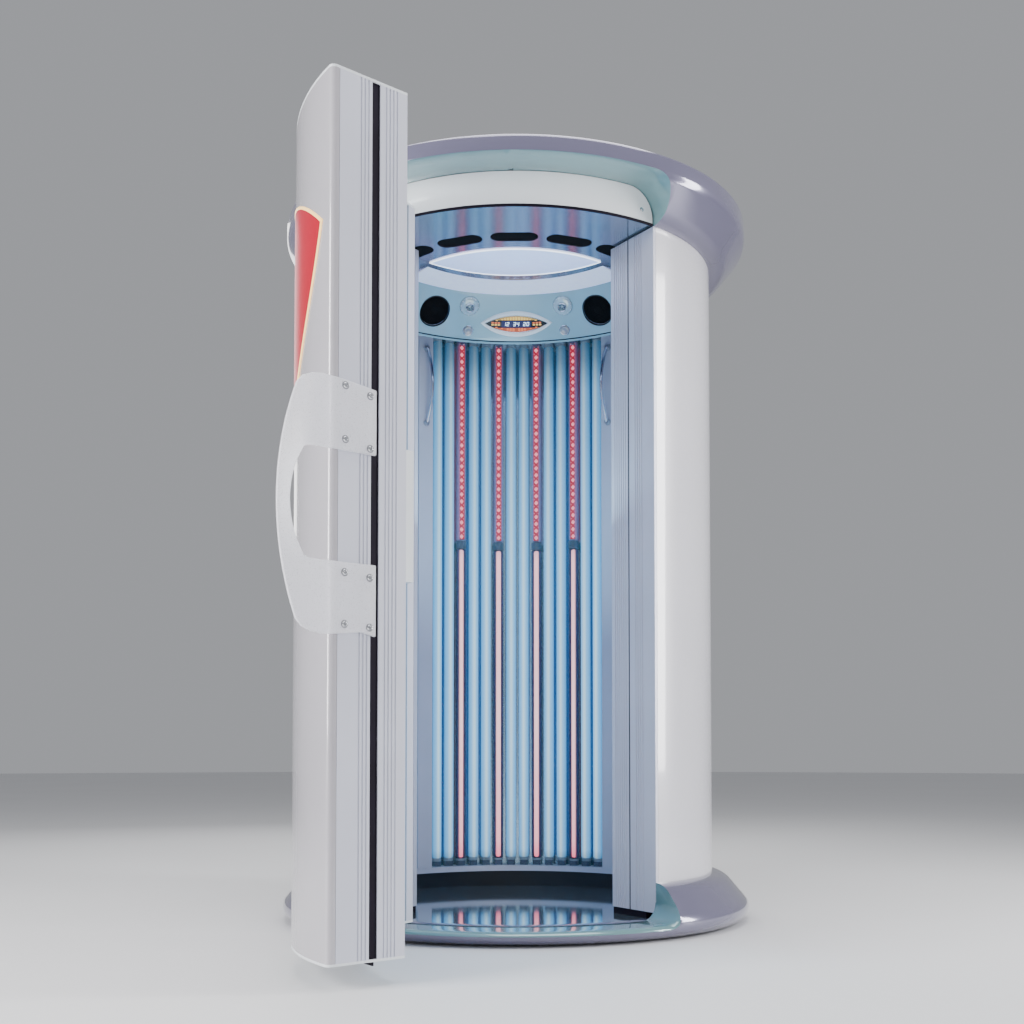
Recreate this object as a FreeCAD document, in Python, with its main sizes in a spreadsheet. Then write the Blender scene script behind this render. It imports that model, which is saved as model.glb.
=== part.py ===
import FreeCAD, Part
import os
import Sketcher
from FreeCAD import Vector

# Vertical tanning booth: an oval cabin with a curved, lamp-filled door.
#
# Frame: +Z up, the doorway faces -Y, the origin is on the floor under the middle of the cabin.
# Plan: an oval of four arcs. The front and back arcs have their centres on the Y axis, the side
# arcs have theirs on the X axis, and the doorway takes up the whole front arc. A piece that
# follows the plan is one profile turned about the centres of the arcs that it covers, and its
# profile is drawn as an offset from the outer face of the cabin (minus is inwards) and a height.

doc = FreeCAD.newDocument("TanningBooth")
sizes = doc.addObject("Spreadsheet::Sheet", "Sizes")
plan = doc.addObject("Spreadsheet::Sheet", "Plan")

# Millimetres and degrees.
DRIVING = [
    ("front_radius", 720, "radius of the front and back arcs, outer face"),
    ("side_radius", 559, "radius of the side arcs, outer face"),
    ("blend_angle", 36, "half the arc of the doorway, where front and side arcs meet"),
    ("panel_wall", 3, "sheet of the side and rear panels"),
    ("fit_gap", 1, "gap between pieces that are assembled side by side"),
    ("slide_gap", 0.3, "gap around a piece that moves in a hole"),
    ("floor_top", 45, "height of the cabin floor"),
    ("floor_plate", 5, "thickness of the floor plate"),
    ("seam_height", 2140, "where the crown starts"),
    ("flare_height", 155, "height of the base skirt, and of the crown"),
    ("flare_reach", 118, "how far skirt and crown stand out from the cabin"),
    ("flare_slope", 49, "slope of the straight part of the flare"),
    ("flare_lip", 40, "radius of the flare's lip"),
    ("lip_height", 46, "from the flare's end to the middle of its lip"),
    ("moulding_wall", 5, "wall of skirt and crown"),
    ("skirt_end", 30, "from the doorway to the ends of the skirt"),
    ("rim_round", 12, "radius along the top of the crown"),
    ("rim_band", 50, "height of the crown's band over the doorway"),
    ("notch_corner", 88, "radius of the upper corners of the doorway notch"),
    ("sill_depth", 41, "how far the sill reaches inwards, up to the floor plate"),
    ("sill_round", 8, "along the sill's upper edge"),
    ("foot_radius", 28, "pad of a levelling foot"),
    ("foot_pad", 7, "thickness of that pad"),
    ("foot_stem", 11, "corners of the foot's nut, from its middle"),
    ("foot_x", 400, "feet, left and right of the middle"),
    ("foot_y", 280, "feet, before and behind the middle"),
    ("frame_tube", 38, "width of the frame's tubes"),
    ("jamb_depth", 200, "door jamb, along the radius"),
    ("jamb_width", 34, "door jamb, across the radius"),
    ("jamb_show", 10, "strip of the jamb that shows beside the side panel"),
    ("jamb_wall", 5, "wall of the jamb extrusion"),
    ("jamb_foot", 20, "height of the rubber foot under a jamb"),
    ("foot_margin", 2, "how far that foot stands back from the jamb's faces"),
    ("rib_width", 4, "groove between two ribs of an extrusion"),
    ("rib_depth", 2, "depth of that groove"),
    ("rib_pitch", 10, "from groove to groove"),
    ("gasket_width", 6, "rubber gasket let into the jamb"),
    ("gasket_inset", 115, "gasket, in from the cabin's outer face"),
    ("kick_inset", 132, "kick panel, in from the cabin's outer face"),
    ("kick_top", 100, "upper edge of the kick panel"),
    ("rail_inset", 142, "inner edge of the lamp rails"),
    ("rail_depth", 70, "depth of the lamp rails"),
    ("rail_height", 20, "height of the lamp rails"),
    ("lamp_inset", 102, "lamp axes, in from the cabin's outer face"),
    ("lamp_radius", 19, "radius of a lamp"),
    ("lamp_pitch", 48.5, "from lamp to lamp"),
    ("holder_height", 18, "height of a lamp holder"),
    ("holder_width", 30, "width of a lamp holder"),
    ("led_length", 763, "length of the red light strips"),
    ("led_width", 38, "width of a red light strip"),
    ("led_depth", 16, "depth of a red light strip"),
    ("reflector_inset", 76, "reflector sheet behind the lamps"),
    ("screen_inset", 138, "acrylic screen before the lamps"),
    ("sheet_wall", 2, "thickness of reflectors"),
    ("screen_wall", 3, "thickness of acrylic screens"),
    ("post_width", 60, "post between two lamp banks"),
    ("post_depth", 16, "thickness of that post"),
    ("grab_drop", 385, "lower end of the grab handles, below the seam"),
    ("grab_span", 300, "length of the grab handles"),
    ("grab_reach", 46, "how far the grab handles stand out"),
    ("grab_radius", 7, "radius of the grab handle's rod"),
    ("header_drop", 6, "from the seam to the ceiling's underside"),
    ("slot_radius", 502, "circle of the ceiling's air slots"),
    ("slot_length", 152, "length of an air slot"),
    ("slot_width", 62, "width of an air slot"),
    ("slot_step", 20, "angle from slot to slot"),
    ("lens_length", 560, "ceiling light"),
    ("lens_width", 206, "width of the ceiling light"),
    ("lens_y", -189, "middle of the ceiling light"),
    ("lens_depth", 9, "how far the light hangs below the ceiling"),
    ("panel_radius", 520, "control panel, radius of its upper edge"),
    ("panel_axis", 463, "axis of the control panel, before the middle"),
    ("panel_slope", 45, "slope of the control panel"),
    ("panel_length", 195, "control panel, along its slope"),
    ("panel_angle", 43, "half the control panel's arc"),
    ("panel_skin", 5, "thickness of the control panel"),
    ("cove_width", 96, "moulding between ceiling light and control panel"),
    ("cove_depth", 12, "how far that moulding hangs below the ceiling"),
    ("speaker_radius", 54, "loudspeaker"),
    ("speaker_turn", 28.7, "loudspeakers, angle from the middle"),
    ("nozzle_radius", 35, "air nozzle"),
    ("nozzle_mouth", 12.6, "radius of the nozzle's mouth"),
    ("nozzle_turn", 16.8, "air nozzles, angle from the middle"),
    ("nozzle_down", 60, "air nozzles, down the panel's slope"),
    ("button_radius", 15, "push button"),
    ("button_turn", 15.9, "push buttons, angle from the middle"),
    ("button_down", 150, "push buttons, down the panel's slope"),
    ("button_rise", 6, "how far a button stands out"),
    ("bezel_length", 280, "display bezel"),
    ("bezel_width", 97, "width of the display bezel"),
    ("bezel_down", 118, "display, down the panel's slope"),
    ("bezel_rise", 6, "how far the bezel stands out"),
    ("bezel_lap", 4, "how far the bezel covers the edge of the display window"),
    ("display_length", 232, "display window"),
    ("display_width", 71, "width of the display window"),
    ("duct_radius", 100, "outside of the exhaust spigot"),
    ("duct_wall", 2, "wall of the exhaust spigot"),
    ("duct_height", 50, "height of the spigot above the roof"),
    ("duct_flange", 125, "radius of the spigot's flange"),
    ("duct_y", 150, "exhaust, behind the middle"),
    ("roof_sheet", 4, "thickness of the roof and the ceiling"),
    ("fan_depth", 80, "depth of the fan housing"),
    ("fan_hub", 36, "radius of the fan's hub"),
    ("fan_tip_gap", 4, "from the blades to the housing"),
    ("blade_pitch", 32, "pitch of the fan's blades"),
    ("blade_chord", 40, "width of the fan's blades"),
    ("blade_wall", 3, "thickness of the fan's blades"),
    ("strut_width", 8, "width of the fan housing's struts"),
    ("ballast_length", 230, "lamp ballast"),
    ("ballast_width", 42, "width of a ballast"),
    ("ballast_height", 34, "height of a ballast"),
    ("ballast_x", 290, "middle of a row of ballasts, from the middle of the booth"),
    ("ballast_pitch", 59, "from ballast to ballast"),
    ("open_angle", 85.5, "how far the door stands open, its full travel"),
    ("hinge_gap", 7, "gap at the door's hinged edge"),
    ("latch_gap", 20, "gap at the door's free edge, which takes the handle"),
    ("hinge_rise", 12, "hinge pins, out from the side panel"),
    ("hinge_along", 30, "hinge pins, past the end of the doorway"),
    ("hinge_height", 90, "height of a hinge"),
    ("hinge_low", 300, "middle of the lowest hinge"),
    ("hinge_step", 795, "from hinge to hinge"),
    ("knuckle_radius", 10, "hinge knuckle"),
    ("pin_radius", 4.95, "hinge pin"),
    ("bore_radius", 5, "bore of a hinge knuckle"),
    ("leaf_wall", 3, "thickness of a hinge leaf"),
    ("leaf_length", 36, "length of a hinge leaf on the side panel, and on the door"),
    ("door_clear", 13, "from the floor to the door's lower edge"),
    ("door_head_gap", 2, "from the door's upper edge to the seam"),
    ("door_depth", 206, "thickness of the door"),
    ("door_skin", 5, "wall of the door's outer shell"),
    ("door_round", 14, "radius of the shell's upright edges"),
    ("door_return", 20, "shell turned in along the door's edges"),
    ("door_cap", 6, "cap on the door's ends"),
    ("edge_width", 30, "extrusion along the door's edge, across the radius"),
    ("edge_wall", 4, "wall of that extrusion"),
    ("seal_inset", 108, "door seal, in from the outer face"),
    ("seal_width", 22, "door seal"),
    ("seal_depth", 9, "depth of the seal's channel"),
    ("door_lamp_inset", 172, "lamp axes in the door"),
    ("door_mirror_gap", 6, "from the door's lamps to the reflector behind them"),
    ("handle_plate", 10, "thickness of the door handle"),
    ("handle_low", 811, "lower end of the door handle"),
    ("handle_high", 1405, "upper end of the door handle"),
    ("handle_lug", 168, "height of the handle's two lugs"),
    ("handle_in", 120, "lugs, in from the door's outer face"),
    ("handle_out", 92, "upper and lower corner of the grip"),
    ("handle_reach", 140, "grip, out from the door's outer face"),
    ("handle_grip", 38, "width of the grip"),
    ("handle_ear", 30, "where the handle's ends leave the door, out from its outer face"),
    ("handle_chamfer", 28, "height of the slope from there to the grip"),
    ("handle_slant", 14, "how much lower the upper lug is at its inner end"),
    ("pull_low", 950, "inner pull, lower end"),
    ("pull_length", 318, "inner pull"),
    ("pull_reach", 22, "how far the inner pull stands out"),
    ("pull_width", 28, "width of the inner pull"),
    ("pull_wall", 6, "thickness of its lip"),
    ("inlay_half", 396, "red light on the door, half its width"),
    ("inlay_tip", 855, "lower tip of that light, below the seam"),
    ("inlay_corner", 355, "its side corners, below the seam"),
    ("inlay_top", 206, "its top, below the seam"),
    ("inlay_rise", 3, "how far it stands out"),
    ("wiper_drop", 9, "lip under the door"),
    ("wiper_wall", 4, "thickness of that lip"),
]

# What follows from the driving sizes.
DERIVED = [
    ("centre_gap", "Sizes.front_radius - Sizes.side_radius"),
    ("front_y", "centre_gap * cos(Sizes.blend_angle)"),
    ("side_x", "centre_gap * sin(Sizes.blend_angle)"),
    ("side_angle", "90 - Sizes.blend_angle"),
    ("lip_middle", "Sizes.flare_reach - Sizes.flare_lip"),
    ("shoulder", "(lip_middle * sin(Sizes.flare_slope) + Sizes.flare_lip"
                 " - (Sizes.flare_height - Sizes.lip_height) * cos(Sizes.flare_slope))"
                 " / (1 - cos(Sizes.flare_slope))"),
    ("crown_top", "Sizes.seam_height + Sizes.flare_height"),
    ("ceiling", "Sizes.seam_height + Sizes.header_drop"),
    ("frame_top", "Sizes.floor_top - Sizes.floor_plate"),
    ("frame_bottom", "Sizes.lip_height - Sizes.flare_lip + Sizes.moulding_wall"),
    ("lamp_foot", "Sizes.kick_top + Sizes.rail_height + Sizes.holder_height"),
    ("rail_top_foot", "ceiling - Sizes.rail_height"),
    ("lamp_head", "rail_top_foot - Sizes.holder_height"),
    ("hinge_turn", "side_angle - Sizes.hinge_along / Sizes.side_radius * 180 / pi"),
    ("hinge_x", "-side_x - (Sizes.side_radius + Sizes.hinge_rise) * cos(hinge_turn)"),
    ("hinge_y", "-(Sizes.side_radius + Sizes.hinge_rise) * sin(hinge_turn)"),
    ("pin_turn", "atan(hinge_x / (hinge_y - front_y)) / 1 deg"),
    ("door_half", "Sizes.blend_angle"
                  " - (Sizes.hinge_gap + Sizes.latch_gap) / 2 / Sizes.front_radius * 180 / pi"),
    ("door_shift", "(Sizes.hinge_gap - Sizes.latch_gap) / 2 / Sizes.front_radius * 180 / pi"),
    ("grab_foot", "Sizes.seam_height - Sizes.grab_drop"),
    ("led_foot", "lamp_head - Sizes.led_length"),
    ("door_bottom", "Sizes.floor_top + Sizes.door_clear"),
    ("door_foot", "door_bottom + Sizes.door_cap"),
    ("door_head", "Sizes.seam_height - Sizes.door_head_gap - Sizes.door_cap"),
    ("door_height", "door_head - door_foot"),
    ("inlay_low", "Sizes.seam_height - Sizes.inlay_tip"),
    ("inlay_side", "Sizes.seam_height - Sizes.inlay_corner"),
    ("inlay_high", "Sizes.seam_height - Sizes.inlay_top"),
    ("roof_foot", "crown_top - Sizes.moulding_wall"),
    ("fan_radius", "Sizes.duct_radius - Sizes.duct_wall"),
]


def fill_sheets():
    """Writes the driving sizes, and the sizes that follow from them, into their sheets."""
    for row, (alias, value, note) in enumerate(DRIVING, 1):
        sizes.set(f"A{row}", alias)
        sizes.set(f"B{row}", str(value))
        sizes.setAlias(f"B{row}", alias)
        sizes.set(f"C{row}", note)
    doc.recompute()
    for row, (alias, formula) in enumerate(DERIVED, 1):
        plan.set(f"A{row}", alias)
        plan.set(f"B{row}", "=" + formula)
        plan.setAlias(f"B{row}", alias)
    doc.recompute()


fill_sheets()
nodes = []
# Two measures of the model this close are the same.
NEAR = 0.5


def number(expression):
    """What an expression of the sheets comes to."""
    value = plan.evalExpression(str(expression))
    return float(getattr(value, "Value", value))


def bind(thing, **expressions):
    """Binds properties of an object to expressions; Base_x stands for Base.x."""
    for name, expression in expressions.items():
        thing.setExpression(name.replace("_", "."), str(expression))


def node(thing, label):
    """Marks an object as a sub-part of the booth."""
    thing.Label = label
    nodes.append(thing)
    return thing


# ---------------------------------------------------------------- places

def at(x=0, y=0, z=0, turn=0):
    """Expression of a place: moved, and turned about the upright axis."""
    return f"placement(vector({x}; {y}; {z}); rotationz({turn}))"


def tilted(x=0, y=0, z=0, angle=0):
    """Expression of a place turned about its own Y axis."""
    return f"placement(vector({x}; {y}; {z}); rotation(vector(0; 1; 0); {angle}))"


DOOR_SWING = ("placement(vector(0; 0; 0); rotation(vector(0; 0; 1); -Sizes.open_angle);"
              " vector(Plan.hinge_x; Plan.hinge_y; 0))")

# Each arc of the plan: centre, direction of its middle, radius, half its angle, and which of
# its ends is at the doorway.
ARCS = {
    "front": ("0", "Plan.front_y", -90, "Sizes.front_radius", "Sizes.blend_angle", 0),
    "back": ("0", "-Plan.front_y", 90, "Sizes.front_radius", "Sizes.blend_angle", 0),
    "right": ("Plan.side_x", "0", 0, "Sizes.side_radius", "Plan.side_angle", -1),
    "left": ("-Plan.side_x", "0", 180, "Sizes.side_radius", "Plan.side_angle", 1),
}
CABIN = ("right", "back", "left")
ROUND = ("front", "right", "back", "left")


def arc_place(arc, turn="0"):
    """Expression of the place of an arc's centre, with X along the given direction."""
    x, y, middle = ARCS[arc][:3]
    return at(x, y, 0, f"{middle} + {turn}")


def trimmed(width, inset):
    """Angle that a straight piece of this width takes up on a side arc, at this inset."""
    return f"(asin(({width}) / (Sizes.side_radius - ({inset}))) / 1 deg)"


# ---------------------------------------------------------------- sketches and features

def new_body(name, place=None):
    """An empty body, placed by an expression."""
    body = doc.addObject("PartDesign::Body", name)
    if place:
        body.setExpression("Placement", place)
    return body


def new_sketch(body, name, plane="XY_Plane"):
    """A sketch on one of the body's own planes."""
    sketch = body.newObject("Sketcher::SketchObject", name)
    feature = [f for f in body.Origin.OriginFeatures if f.Role == plane][0]
    sketch.AttachmentSupport = [(feature, "")]
    sketch.MapMode = "FlatFace"
    return sketch


def arc_between(start, end, radius, turn):
    """Short arc from start to end; it turns left if turn is 1, and right if it is -1."""
    middle = (start + end) / 2
    chord = end - start
    rise = max(radius ** 2 - (chord.Length / 2) ** 2, 0) ** 0.5
    centre = middle + Vector(-chord.y, chord.x, 0).normalize() * rise * turn
    first, last = (start, end) if turn > 0 else (end, start)
    flat = Vector(1, 0, 0)
    angles = [flat.getAngle(p - centre) * (1 if p.y >= centre.y else -1) for p in (first, last)]
    return Part.ArcOfCircle(Part.Circle(centre, Vector(0, 0, 1), radius), *angles)


def outline(sketch, corners, arcs=None):
    """A closed outline: every corner is held by two expressions, and each arc by its radius.

    arcs gives, for the edge that leaves a corner, its radius and which way it turns.
    """
    arcs = arcs or {}
    points = [Vector(number(x), number(y), 0) for x, y in corners]
    count = len(points)
    edges = []
    for i, start in enumerate(points):
        end = points[(i + 1) % count]
        if i in arcs:
            radius, turn = arcs[i]
            edges.append(arc_between(start, end, number(radius), turn))
        else:
            edges.append(Part.LineSegment(start, end))
    ids = sketch.addGeometry(edges, False)
    ends = [(1, 2) if arcs.get(i, (0, 1))[1] > 0 else (2, 1) for i in range(count)]
    for i in range(count):
        after = (i + 1) % count
        sketch.addConstraint(Sketcher.Constraint(
            "Coincident", ids[i], ends[i][1], ids[after], ends[after][0]))
        for axis, value, expression in (
            ("DistanceX", points[i].x, corners[i][0]),
            ("DistanceY", points[i].y, corners[i][1]),
        ):
            held = sketch.addConstraint(Sketcher.Constraint(axis, ids[i], ends[i][0], value))
            sketch.setExpression(f"Constraints[{held}]", str(expression))
    for i, (radius, turn) in arcs.items():
        held = sketch.addConstraint(Sketcher.Constraint("Radius", ids[i], number(radius)))
        sketch.setExpression(f"Constraints[{held}]", str(radius))


def circle(sketch, x, y, radius):
    """A circle held by its centre and radius."""
    middle = Vector(number(x), number(y), 0)
    item = sketch.addGeometry(Part.Circle(middle, Vector(0, 0, 1), number(radius)), False)
    for kind, value, expression in (
        ("DistanceX", middle.x, x), ("DistanceY", middle.y, y),
    ):
        held = sketch.addConstraint(Sketcher.Constraint(kind, item, 3, value))
        sketch.setExpression(f"Constraints[{held}]", str(expression))
    held = sketch.addConstraint(Sketcher.Constraint("Radius", item, number(radius)))
    sketch.setExpression(f"Constraints[{held}]", str(radius))


def box_corners(x0, x1, y0, y1):
    """Corners of a rectangle, anticlockwise."""
    return [(x0, y0), (x1, y0), (x1, y1), (x0, y1)]


def feature(body, kind, name, sketch):
    """A feature of the body that uses a sketch as its profile."""
    made = body.newObject("PartDesign::" + kind, name)
    made.Profile = sketch
    return made


def pad(body, name, sketch, length):
    """A pad along the sketch's normal."""
    made = feature(body, "Pad", name, sketch)
    bind(made, Length=length)
    return made


def pocket(body, name, sketch, length, reverse=False):
    """A pocket that has to take material away."""
    doc.recompute()
    before = body.Shape.Volume
    made = feature(body, "Pocket", name, sketch)
    made.Reversed = reverse
    bind(made, Length=length)
    doc.recompute()
    if not body.Shape.Volume < before:
        raise ValueError(f"{name} cuts nothing")
    return made


def turned(body, name, sketch, half_angle):
    """A revolution about the body's upright axis, as far to both sides."""
    made = feature(body, "Revolution", name, sketch)
    made.ReferenceAxis = (sketch, ["V_Axis"])
    made.Midplane = True
    bind(made, Angle=f"2 * ({half_angle})")
    return made


def upright_edges(shape, test):
    """Names of the straight upright edges whose middle passes a test."""
    names = []
    for index, edge in enumerate(shape.Edges, 1):
        if edge.Curve.TypeId != "Part::GeomLine":
            continue
        along = edge.tangentAt(edge.FirstParameter)
        if abs(along.z) > 0.999 and test(edge.CenterOfMass):
            names.append(f"Edge{index}")
    return names


def rounded(body, name, edges, radius):
    """A fillet on edges of the body's last feature."""
    made = body.newObject("PartDesign::Fillet", name)
    made.Base = (body.Group[-2], edges)
    bind(made, Radius=radius)
    return made


def combined(kind, name, parts):
    """Part::MultiFuse, Part::Compound and the like, from several objects."""
    made = doc.addObject(kind, name)
    if kind == "Part::Compound":
        made.Links = parts
    else:
        made.Shapes = parts
    return made


def cut(name, base, tool):
    """One object less another."""
    made = doc.addObject("Part::Cut", name)
    made.Base = base
    made.Tool = tool
    return made


def common(name, base, tool):
    """What two objects share."""
    made = doc.addObject("Part::Common", name)
    made.Base = base
    made.Tool = tool
    return made


def mirrored(name, source):
    """The same piece on the other side of the booth."""
    made = doc.addObject("Part::Mirroring", name)
    made.Source = source
    made.Normal = Vector(1, 0, 0)
    return made


def block(name, place, length, width, height):
    """Part::Box placed by an expression."""
    made = doc.addObject("Part::Box", name)
    bind(made, Length=length, Width=width, Height=height, Placement=place)
    return made


def rod(name, place, radius, height):
    """Part::Cylinder placed by an expression."""
    made = doc.addObject("Part::Cylinder", name)
    bind(made, Radius=radius, Height=height, Placement=place)
    return made


# ---------------------------------------------------------------- pieces that follow the plan

def swept(name, arc, profile, trim="0", half=None, swing="", turn="0"):
    """A profile of (offset, height) corners, turned along one arc of the plan.

    trim is the angle left free at the doorway's end; half takes the place of half the arc.
    """
    radius, whole, doorway = ARCS[arc][3:]
    place = arc_place(arc, f"({turn}) - ({doorway}) * ({trim}) / 2")
    body = new_body(name, swing + place)
    sketch = new_sketch(body, name + "_profile", "XZ_Plane")
    outline(sketch, [(f"{radius} + ({x})", z) for x, z in profile])
    turned(body, name + "_turn", sketch, f"{half or whole} - ({trim}) / 2")
    return body


def swept_round(name, arcs, profile, trim="0"):
    """The same profile along several arcs, as one piece."""
    parts = [swept(f"{name}_{arc}", arc, profile, trim if ARCS[arc][5] else "0")
             for arc in arcs]
    fused = combined("Part::MultiFuse", name, parts)
    fused.Refine = True
    return fused


def flare(turn_up, inset="0", back="-Sizes.panel_wall"):
    """Profile of the skirt (turn_up is False) or of the crown, in short straight runs.

    inset draws it that far inside its own face, for the hollow.
    """
    start, sign = ("Sizes.seam_height", 1) if turn_up else ("Sizes.flare_height", -1)
    slope = "Sizes.flare_slope"
    bend, lip = f"(Plan.shoulder - {inset})", f"(Sizes.flare_lip - {inset})"
    rise = "(Sizes.flare_height - Sizes.lip_height)"
    corners = [(back, inset), ("0", inset)]
    corners += [(f"{bend} * sin({slope} * {share})",
                 f"Plan.shoulder - {bend} * cos({slope} * {share})") for share in (0.5, 1)]
    corners += [(f"Plan.lip_middle + {lip} * cos({turn})", f"{rise} + {lip} * sin({turn})")
                for turn in (f"{slope} - 90", f"({slope} - 90) / 2", "0")]
    if turn_up:
        end = f"Sizes.flare_height - {inset}"
        corners += [(f"Sizes.flare_reach - {inset}", "Sizes.flare_height - Sizes.rim_round"),
                    ("Sizes.flare_reach - Sizes.rim_round", end)]
    else:
        end = f"{rise} + {lip}"
        corners += [(f"Plan.lip_middle + {lip} * cos(45)", f"{rise} + {lip} * sin(45)"),
                    ("Plan.lip_middle", end)]
    corners.append((back, end))
    return [(x, f"{start} + {sign} * ({z})") for x, z in corners]


WEB = "Sizes.moulding_wall / Sizes.side_radius * 180 / pi"


def flare_hollow(name, turn_up, trim="0"):
    """The hollow of skirt or crown; a web is left at each end of a side moulding."""
    profile = flare(turn_up, "Sizes.moulding_wall", "-Sizes.moulding_wall - Sizes.fit_gap")
    return [swept(f"{name}_{arc}", arc, profile, trim=trim if ARCS[arc][5] else "0",
                  half=f"{ARCS[arc][4]} - {WEB}") for arc in CABIN]


# How far the frame's arms reach into the skirt, as a share of the way to its lip.
ARM_SHARE = 0.7
# Angle between the arms at the back.
ARM_TURN = 22


def base():
    """Frame, feet, floor, sill and skirt."""
    tube = box_corners("-Sizes.sill_depth - Sizes.frame_tube", "-Sizes.sill_depth",
                       "Plan.frame_bottom", "Plan.frame_top")
    ring = swept_round("frame_ring", ROUND, tube)
    bars = []
    inner = "(Sizes.side_radius - Sizes.sill_depth - Sizes.frame_tube)"
    reach = f"(Plan.side_x + sqrt({inner} ^ 2 - Sizes.foot_y ^ 2))"
    height = "Plan.frame_top - Plan.frame_bottom"
    for side, name in ((-1, "front"), (1, "back")):
        place = at(f"-{reach}", f"{side} * Sizes.foot_y - Sizes.frame_tube / 2", "Plan.frame_bottom")
        bars.append(block(f"frame_bar_{name}", place, f"2 * {reach}", "Sizes.frame_tube", height))
    deep = "(Sizes.front_radius - Plan.front_y - Sizes.sill_depth - Sizes.frame_tube)"
    place = at("-Sizes.frame_tube / 2", f"-{deep}", "Plan.frame_bottom")
    bars.append(block("frame_bar_middle", place, "Sizes.frame_tube", f"2 * {deep}", height))
    for index, (arc, turn) in enumerate(
            (("right", 0), ("left", 0), ("back", f"-{ARM_TURN}"), ("back", 0), ("back", ARM_TURN))):
        place = arc_place(arc, turn) + " * " + at(
            f"{ARCS[arc][3]} - Sizes.sill_depth - Sizes.frame_tube / 2",
            "-Sizes.frame_tube / 2", "Plan.frame_bottom")
        bars.append(block(f"frame_arm_{index}", place,
                          f"Sizes.sill_depth + Sizes.frame_tube / 2 + {ARM_SHARE} * Plan.lip_middle",
                          "Sizes.frame_tube", height))
    node(combined("Part::MultiFuse", "frame", [ring] + bars), "base_frame")

    feet = []
    spots = [(x, y) for x in (-1, 1) for y in (-1, 1)] + [(0, 0)]
    for index, (x, y) in enumerate(spots):
        where = (f"{x} * Sizes.foot_x", f"{y} * Sizes.foot_y")
        cone = doc.addObject("Part::Cone", f"foot_pad_{index}")
        bind(cone, Radius1="Sizes.foot_radius", Radius2="Sizes.foot_radius * 0.7",
             Height="Sizes.foot_pad", Placement=at(*where))
        stem = doc.addObject("Part::Prism", f"foot_stem_{index}")
        stem.Polygon = 6
        bind(stem, Circumradius="Sizes.foot_stem", Height="Plan.frame_bottom - Sizes.foot_pad",
             Placement=at(*where, "Sizes.foot_pad"))
        feet.append(combined("Part::MultiFuse", f"foot_{index}", [cone, stem]))
    node(combined("Part::Compound", "feet", feet), "levelling_feet")

    floor = new_body("floor", at(z="Plan.frame_top"))
    sketch = new_sketch(floor, "floor_outline")
    oval(sketch, "-Sizes.sill_depth")
    pad(floor, "floor_pad", sketch, "Sizes.floor_plate")
    node(floor, "floor_plate")

    profile = sill_face("0") + list(reversed(sill_face("Sizes.moulding_wall")))
    past = trimmed("Sizes.skirt_end - Sizes.fit_gap", "0")
    runs = [swept("sill_front", "front", profile)]
    runs += [swept(f"sill_{arc}", arc, profile, half=f"{past} / 2",
                   turn=f"{ARCS[arc][5]} * (Plan.side_angle - {past} / 2)")
             for arc in ("right", "left")]
    sill = combined("Part::MultiFuse", "sill", runs)
    sill.Refine = True
    node(sill, "front_sill")

    ends = trimmed("Sizes.skirt_end", "0")
    whole = swept_round("skirt_whole", CABIN, flare(False), ends)
    hollow = combined("Part::MultiFuse", "skirt_hollow",
                      flare_hollow("skirt_hollow", False, ends))
    flared = cut("skirt_flared", whole, hollow)
    # Between the jambs and the flared part, a flat tongue carries the side panels on down.
    near = trimmed("Sizes.jamb_show", "0")
    far = trimmed("Sizes.skirt_end + Sizes.moulding_wall", "0")
    strip = box_corners("-Sizes.panel_wall", "0", "Sizes.floor_top + Sizes.fit_gap",
                        "Sizes.flare_height")
    tongues = [swept(f"skirt_tongue_{arc}", arc, strip, half=f"({far} - {near}) / 2",
                     turn=f"{ARCS[arc][5]} * (Plan.side_angle - ({far} + {near}) / 2)")
               for arc in ("right", "left")]
    node(combined("Part::MultiFuse", "skirt", [flared] + tongues), "base_skirt")


def sill_face(inset):
    """Face of the sill, from below upwards: the skirt's lip, cut level with the floor.

    inset draws it that far inside itself.
    """
    lip = f"(Sizes.flare_lip - {inset})"
    low, top = f"Sizes.lip_height - {lip}", f"Sizes.floor_top - {inset}"
    return [("-Sizes.sill_depth", low), ("Plan.lip_middle", low),
            (f"Plan.lip_middle + {lip} * cos(45)", f"Sizes.lip_height - {lip} * sin(45)"),
            (f"Sizes.flare_reach - {inset}", "Sizes.floor_top - Sizes.sill_round"),
            ("Sizes.flare_reach - Sizes.sill_round", top), ("-Sizes.sill_depth", top)]


def oval(sketch, offset):
    """The cabin's whole outline in plan, moved out by an offset."""
    front = f"(Sizes.front_radius + ({offset}))"
    side = f"(Sizes.side_radius + ({offset}))"
    x = f"({front} * sin(Sizes.blend_angle))"
    y = f"({front} * cos(Sizes.blend_angle) - Plan.front_y)"
    corners = [(f"-{x}", f"-{y}"), (x, f"-{y}"), (x, y), (f"-{x}", y)]
    outline(sketch, corners, {0: (front, 1), 1: (side, 1), 2: (front, 1), 3: (side, 1)})


def round_ends(body, name, top, radius):
    """A fillet on the two upper edges at the ends of a swept block."""
    doc.recompute()
    level = number(top)
    names = []
    for index, edge in enumerate(body.Shape.Edges, 1):
        if edge.Curve.TypeId == "Part::GeomLine" and abs(edge.CenterOfMass.z - level) < 0.01:
            names.append(f"Edge{index}")
    rounded(body, name, names, radius)


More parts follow.
